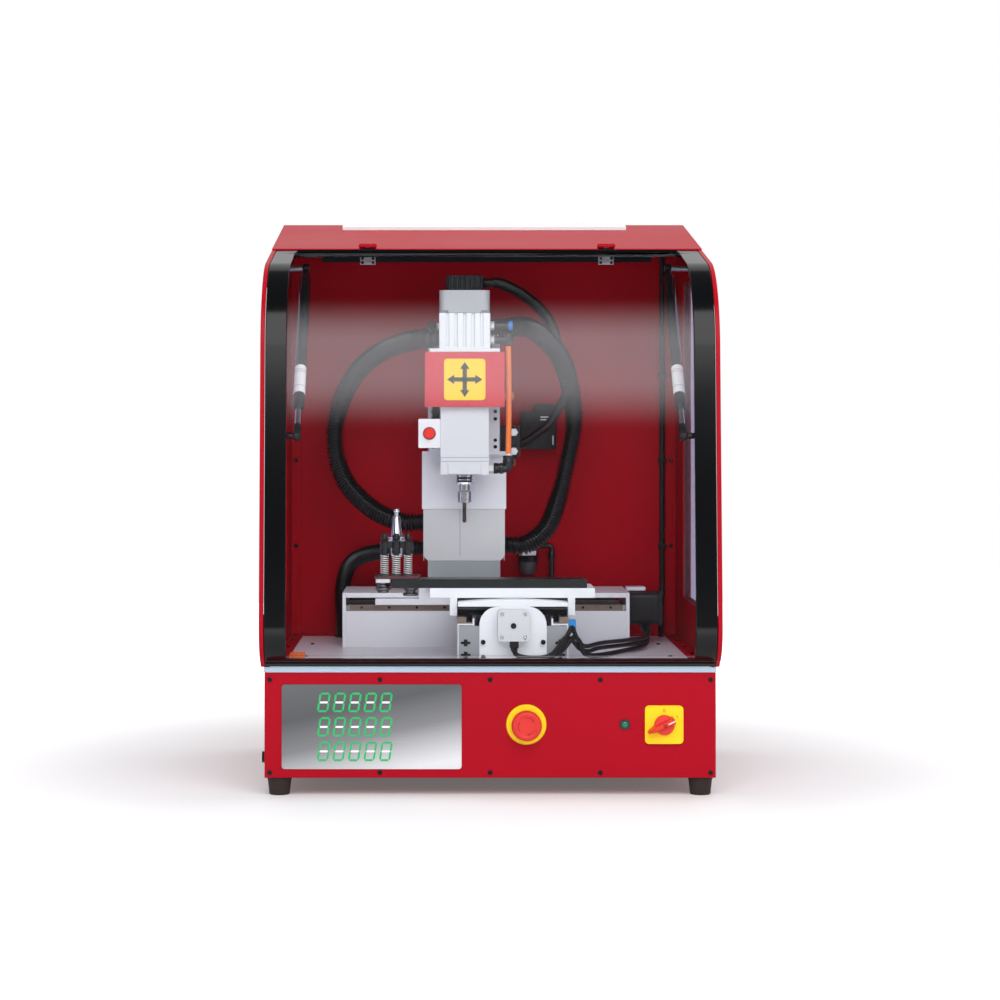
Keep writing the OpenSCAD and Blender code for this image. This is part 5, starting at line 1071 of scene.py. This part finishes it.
def spring_tree():
    """The nodes that stand a coil spring on each point."""
    flow, points, radius, height, turns, wire, coat = new_tree(
        "coil_springs", "Springs", "Points:Geometry", "Coil Radius:Float", "Coil Height:Float", "Turns:Float",
        "Wire Radius:Float", "Finish:Material")
    coil = flow.node("GeometryNodeCurveSpiral", None, {
        "Resolution": 24, "Rotations": turns, "Start Radius": radius, "End Radius": radius, "Height": height})
    section = flow.node("GeometryNodeCurvePrimitiveCircle", None, {"Resolution": 10, "Radius": wire})
    body = flow.node("GeometryNodeCurveToMesh", None, {"Curve": coil, "Profile Curve": section, "Fill Caps": True})
    smooth = flow.node("GeometryNodeSetShadeSmooth", None, {"Geometry": body})
    return end_tree(flow, "Springs", flow.node("GeometryNodeInstanceOnPoints", None, {"Points": points, "Instance": smooth}), coat)


spring_steel = finish("spring_steel", shade(236, 236, 232), 0.3, metal=0.35, grain=900, depth=0.000004)
spring_low, spring_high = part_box("post_springs")
seats = bpy.data.meshes.new("seats")
seats.from_pydata([(x, y, spring_low.z + 0.0009) for x, y in post_spots], [], [])
coils = worked(seats, spring_tree(), {"Coil Radius": 0.0053, "Coil Height": spring_high.z - spring_low.z - 0.0018, "Turns": 9.0,
                                      "Wire Radius": 0.0007, "Finish": spring_steel})
springs = kept("coil_springs", coils, spring_steel, "work_table", "post_springs")
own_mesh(springs)

sleeve_z = spring_high.z + 0.0001
post_black = finish("post_black", shade(28, 28, 29), 0.32, metal=0.3, grain=1200, depth=0.00001, extra={"Coat Weight": 0.25})
fitted("post_sleeves", post_black, "tool_carrier", "black_plastic", *at_posts(mm(
    (0, 0), (5.8, 0), (6.2, 0.6), (6.2, 5), (5.7, 5.5), (5.7, 6.5), (6.2, 7), (6.2, 16.2), (5.5, 17), (3, 17.2), (2.8, 18.6),
    (4.2, 19.6), (5, 21.6), (5, 24), (4, 26.4), (2.2, 27.7), (0, 28), mid=(0, sleeve_z)), 40), node="sprung_posts")
post_steel = finish("post_steel", shade(170, 171, 173), 0.2, metal=0.9, grain=900, depth=0.000004)
fitted("post_rods", post_steel, "tool_carrier", "black_plastic", *at_posts(
    mm((0, 10.2), (1.7, 10.2), (2, 10.7), mid=(0, bar_high.z)) + mm((2, 1), (0, 1), mid=(0, sleeve_z)), 24))
fitted("post_guides", post_black, "tool_carrier", "black_plastic", *at_posts(
    bored(0.0038, 0.0042, spring_low.z + 0.0064, sleeve_z + 0.0005), 32))
fitted("post_bushes", post_black, "work_table", "black_plastic", *at_posts(
    bored(0.0022, 0.0036, bar_high.z + 0.0058, spring_low.z + 0.0082), 32))
(holder_x, post_y), holder_y = post_spots[1], bar_low.y + 0.040
link_z = sleeve_z + 0.0079
fitted("tool_cradle", post_black, "tool_carrier", "black_plastic",
       prism(rounded_outline(0.0322, 0.006, 0.0015, (holder_x, post_y + 0.001)), link_z, link_z + 0.008),
       prism(rounded_outline(0.010, 0.020, 0.0015, (holder_x, post_y + 0.009)), link_z + 0.0005, link_z + 0.0075),
       turned(mm((9, 0), (12.4, 0), (13, 0.6), (13, 7.4), (12.4, 8), (9, 8)), 64, (holder_x, holder_y, link_z)))
fitted("tool_taper", polished, "tool_carrier", "chromed_rod", turned(mm(
    (0, -22), (6.6, -22), (7, -21.6), (8, -20), (8, -8), (8.9, -7.8), (8.9, 0), (11.6, 0), (12, 0.4), (12, 1.8), (10.6, 2.8),
    (10.6, 3.2), (12, 4.2), (12, 5.6), (11.5, 6), (8.2, 6.6), (8, 7.2), (4.6, 33.6), (4.2, 34.2), (3, 34.8), (3, 39.6),
    (3.9, 40.4), (4, 41), (4, 42.8), (3.6, 43.8), (2.4, 44.9), (0, 45), mid=(0, link_z + 0.0081)),
    64, (holder_x, holder_y, 0)), node="tool_holder")

# ---- Air unit ----
# A water separator with a dark clear bowl, and a valve with an orange knob, both black, screwed to
# the rear wall. A black elbow and tube run down from the separator.
unit_black = finish("unit_black", shade(16, 17, 18), 0.4, grain=1300, depth=0.00001)
back_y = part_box("air_unit")[1].y
bowl_y, mark_near, mark_far = back_y - 0.022, back_y - 0.0363, back_y - 0.0359
fitted("separator", unit_black, "machine", "black_plastic",
       prism(rounded_outline(0.026, 0.025, 0.003, (0.067, deck + 0.1375)), back_y - 0.044, back_y - 0.002, "Y"),
       turned(mm((0, 0), (15, 0), (15, 12), (0, 12)), 40, (0.067, bowl_y, deck + 0.1135)), node="air_unit", edge=0.0006)
bowl_clear = clear("bowl_clear", shade(120, 104, 106), 0.10, 0.04, 0.08)
fitted("separator_bowl", bowl_clear, "machine", "black_plastic", turned(
    mm((0, 0), (4, 0.5), (9.5, 2), (11.5, 5), (13.8, 20.8), (13.8, 21.4), (0, 21.4)), 40, (0.067, bowl_y, deck + 0.0922)))
drain = bend(Vector((0.103, bowl_y, deck + 0.138)), Vector((0.078, bowl_y, deck + 0.138)),
             Vector((0.103, bowl_y, deck + 0.060)), 0.006)
fitted("separator_elbow", fitting_black, "machine", "black_plastic", pipe(drain, 0.004),
       turned(mm((0, 0), (5.5, 0), (5.5, 8), (4.8, 9.5), (0, 9.5)), 32, (0.0795, bowl_y, deck + 0.138), "X"),
       turned(mm((0, 0), (5.2, 0), (5.2, 10), (4.4, 11.5), (0, 11.5)), 32, (0.103, bowl_y, deck + 0.118)))
fitted("separator_band", label_white, "machine", "black_plastic", prism(
    rounded_outline(0.0250, 0.0070, 0.0006, (0.0660, deck + 0.1275)), back_y - 0.0443, back_y - 0.0439, "Y"))
fitted("valve_block", unit_black, "machine", "black_plastic",
       prism(rounded_outline(0.054, 0.058, 0.003, (0.083, deck + 0.313)), back_y - 0.036, back_y - 0.002, "Y"),
       prism(rounded_outline(0.030, 0.012, 0.002, (0.092, deck + 0.347)), back_y - 0.030, back_y - 0.006, "Y"),
       turned(mm((0, 0), (3, 0), (3, 31), (0, 31)), 24, (0.038, back_y - 0.031, deck + 0.365), "Y"), edge=0.0008)
fitted("valve_marks", label_white, "machine", "black_plastic", *[
    prism(rounded_outline(width, height, 0.0004, (x, deck + z)), mark_near, mark_far, "Y")
    for width, height, x, z in ((0.013, 0.0016, 0.092, 0.329), (0.013, 0.0016, 0.092, 0.333), (0.0016, 0.014, 0.1045, 0.298))])
fitted("valve_knob", orange_tube, "machine", "orange_plastic", turned(
    mm((0, 0), (8.1, 0), (8.5, 1), (8.5, 6), (7.4, 8.5), (4.8, 10), (0, 10)), 24, (0.038, back_y - 0.030, deck + 0.365), "-Y"))

# ---- Leads ----
# Round black leads. Three run from the table motor along the deck to the cross motor; one comes
# down the rear wall under black clips and goes through the deck.
lead_black = finish("lead_black", shade(24, 25, 27), 0.45, grain=1500, depth=0.00001)
wall_x = liner_x * 1000 - 23
for name, points, steps, radius, node in (
        ("motor_lead", [
            (33, 36, 195), (33, 30, 190), (38, 25, 184), (55, 25, 181), (80, 30, 182), (98, 45, 190), (113, 60, 205), (122, 72, 200),
            (130, 85, 182), (150, 120, 176), (190, 190, 176), (226, 260, 178), (234, 310, 190), (234.5, 334, 196),
            (234.5, 343, 196), (234.5, 352, 196)], 6, 0.0034, "cables"),
        ("wall_lead", [
            (wall_x, 500, 788), (wall_x, 500, 600), (wall_x, 500, 309), (wall_x, 498, 250), (wall_x - 2, 488, 222),
            (wall_x - 4, 476, 200), (wall_x - 4, 474, 188), (wall_x - 4, 474, 180), (wall_x - 4, 474, 171.5)], 8, 0.004, None),
        ("third_lead", [
            (58, 24, 180), (80, 27, 184), (92, 38, 194), (101, 48, 205), (108, 58, 205), (115, 70, 198), (124, 84, 188),
            (136, 96, 184), (154, 124, 186), (194, 194, 184), (227, 266, 183), (235, 310, 192), (233, 334, 198),
            (233, 343, 199), (233, 352, 199)], 6, 0.003, None),
        ("second_lead", [
            (62, 27, 179), (82, 31, 183), (97, 42, 196), (106, 54, 210), (112, 60, 219), (117, 66, 208), (124, 78, 196),
            (134, 92, 191), (156, 122, 193), (196, 190, 191), (228, 262, 189), (237, 314, 195), (236, 334, 200),
            (236, 343, 201), (236, 352, 202)], 6, 0.003, None)):
    fitted(name, lead_black, "machine", "hose_black", pipe(smooth_path(points, steps), radius, 16), node=node)
fitted("motor_plug", socket_black, "machine", "hose_black",
       prism(rounded_outline(0.012, 0.0092, 0.0012, (0.033, deck + 0.0267)), front + 0.031, front + 0.043, "Y"),
       prism(rounded_outline(0.0088, 0.0060, 0.0010, (0.033, deck + 0.0205)), front + 0.0325, front + 0.0395, "Y"), edge=0.0004)
fitted("blue_plug", ring_blue, "machine", "orange_plastic",
       prism(rounded_outline(0.0096, 0.0140, 0.0012, (0.1125, deck + 0.0510)), front + 0.062, front + 0.072, "Y"),
       prism(rounded_outline(0.0068, 0.0060, 0.0008, (0.1125, deck + 0.0430)), front + 0.063, front + 0.071, "Y"), edge=0.0004)
clip = mm((-6, 508), (-6, 496.5), (-4, 494.6), (4, 494.6), (6, 496.5), (6, 508), mid=(wall_x / 1000, front))
fitted("wall_clips", socket_black, "machine", "hose_black", *[
    prism(clip, deck + z - 0.003, deck + z + 0.003) for z in wall_screw_z], edge=0.0005)
fitted("side_gland", socket_black, "machine", "hose_black", turned(
    mm((0, 0), (7.5, 0, 6), (7.5, 3.4, 6), (5.8, 3.6), (5.5, 5), (3, 5), (0, 4.6)), 48,
    (panel_low.x - 0.005, front + 0.030, panel_low.z + 0.024), "X"))

# ---- Studio ----
# A pale floor and backdrop, a wide soft light above and before the door, and soft fills from the
# sides, at a level that shows each colour about as it is written.


def rays(flow, *kinds):
    """1 for rays of these kinds and 0 for all others."""
    paths = flow.tree.nodes.new("ShaderNodeLightPath")
    return flow.maths("MINIMUM", sum(Flow(flow.tree, paths.outputs["Is " + kind + " Ray"]) for kind in kinds), 1.0)


def stage_sheet(name, corners, look):
    """A flat sheet of the studio."""
    mesh = bpy.data.meshes.new(name)
    mesh.from_pydata(corners, [], [(0, 1, 2, 3)])
    mesh.materials.append(look)
    placed(name, mesh)


def softbox(name, place, aim, width, height, power, mirrored=True):
    """A soft light turned to a point, and not seen itself."""
    lamp = bpy.data.lights.new(name, "AREA")
    lamp.shape, lamp.size, lamp.size_y, lamp.energy = "RECTANGLE", width, height, power
    stand = placed(name, lamp)
    stand.location = place
    stand.rotation_euler = (Vector(aim) - Vector(place)).to_track_quat("-Z", "Y").to_euler()
    stand.visible_camera, stand.visible_glossy = False, mirrored


# The floor fades to plain white away from the machine, to the camera and to mirrors only.
floor_white, flow = blank("floor_white")
matt = flow.node("ShaderNodeBsdfDiffuse", None, {"Color": shade(236, 236, 238)})
away = flow.node("ShaderNodeVectorMath", {"operation": "LENGTH"}, {0: flow.node("ShaderNodeTexCoord", out=3)}, out=1)
spread = flow.node("ShaderNodeMapRange", {"interpolation_type": "SMOOTHSTEP"}, {"Value": away, 1: 0.45, 2: 1.5, 3: 0.12, 4: 1.0})
glow = flow.node("ShaderNodeEmission", None, {
    "Color": (1, 1, 1, 1), "Strength": rays(flow, "Camera", "Glossy", "Transmission") * spread})
close(flow, flow.node("ShaderNodeAddShader", None, {0: matt, 1: glow}))
stage_sheet("studio_floor", [(-9, -9, 0), (9, -9, 0), (9, 9, 0), (-9, 9, 0)], floor_white)

backdrop_white, flow = blank("backdrop_white")
level = rays(flow, "Camera", "Transmission") * 0.80 + 0.20 + rays(flow, "Glossy") * 0.50
close(flow, flow.node("ShaderNodeEmission", None, {"Color": (1, 1, 1, 1), "Strength": level}))
stage_sheet("studio_backdrop", [(-6, 3.4, -0.01), (6, 3.4, -0.01), (6, 3.4, 5.5), (-6, 3.4, 5.5)], backdrop_white)

softbox("front_light", (0.25, -2.3, 1.95), (0, 0, 0.45), 2.6, 2.0, 60)
softbox("low_front_light", (0, -4.3, 0.30), (0, 0, 0.25), 2.6, 0.6, 28, mirrored=False)
softbox("left_fill", (-2.4, -1.2, 1.0), (0, 0, 0.4), 1.6, 1.8, 10)
softbox("right_fill", (2.4, -1.4, 1.0), (0, 0, 0.4), 1.6, 1.8, 10)
softbox("top_light", (0, 0.5, 2.6), (0, 0, 0.6), 2.4, 2.0, 38, mirrored=False)

world = bpy.data.worlds.new("studio")
world.use_nodes = True
world.node_tree.nodes.clear()
sky = Flow(world.node_tree)
level = rays(sky, "Camera", "Transmission") * 0.80 + 0.20 - rays(sky, "Glossy") * 0.06
plain = sky.node("ShaderNodeBackground", None, {"Color": (1, 1, 1, 1), "Strength": level})
sky.node("ShaderNodeOutputWorld", None, {"Surface": plain})
bpy.context.scene.world = world
bpy.context.scene.view_settings.view_transform = "Standard"

lens = bpy.data.cameras.new("camera")
lens.lens, lens.sensor_width, lens.shift_x, lens.shift_y = 92.1, 36.0, 0.061, -0.078
camera = placed("camera", lens)
camera.location, camera.rotation_euler = (-0.068, -3.6355, 0.497), (pi / 2, 0, 0)
bpy.context.scene.camera = camera
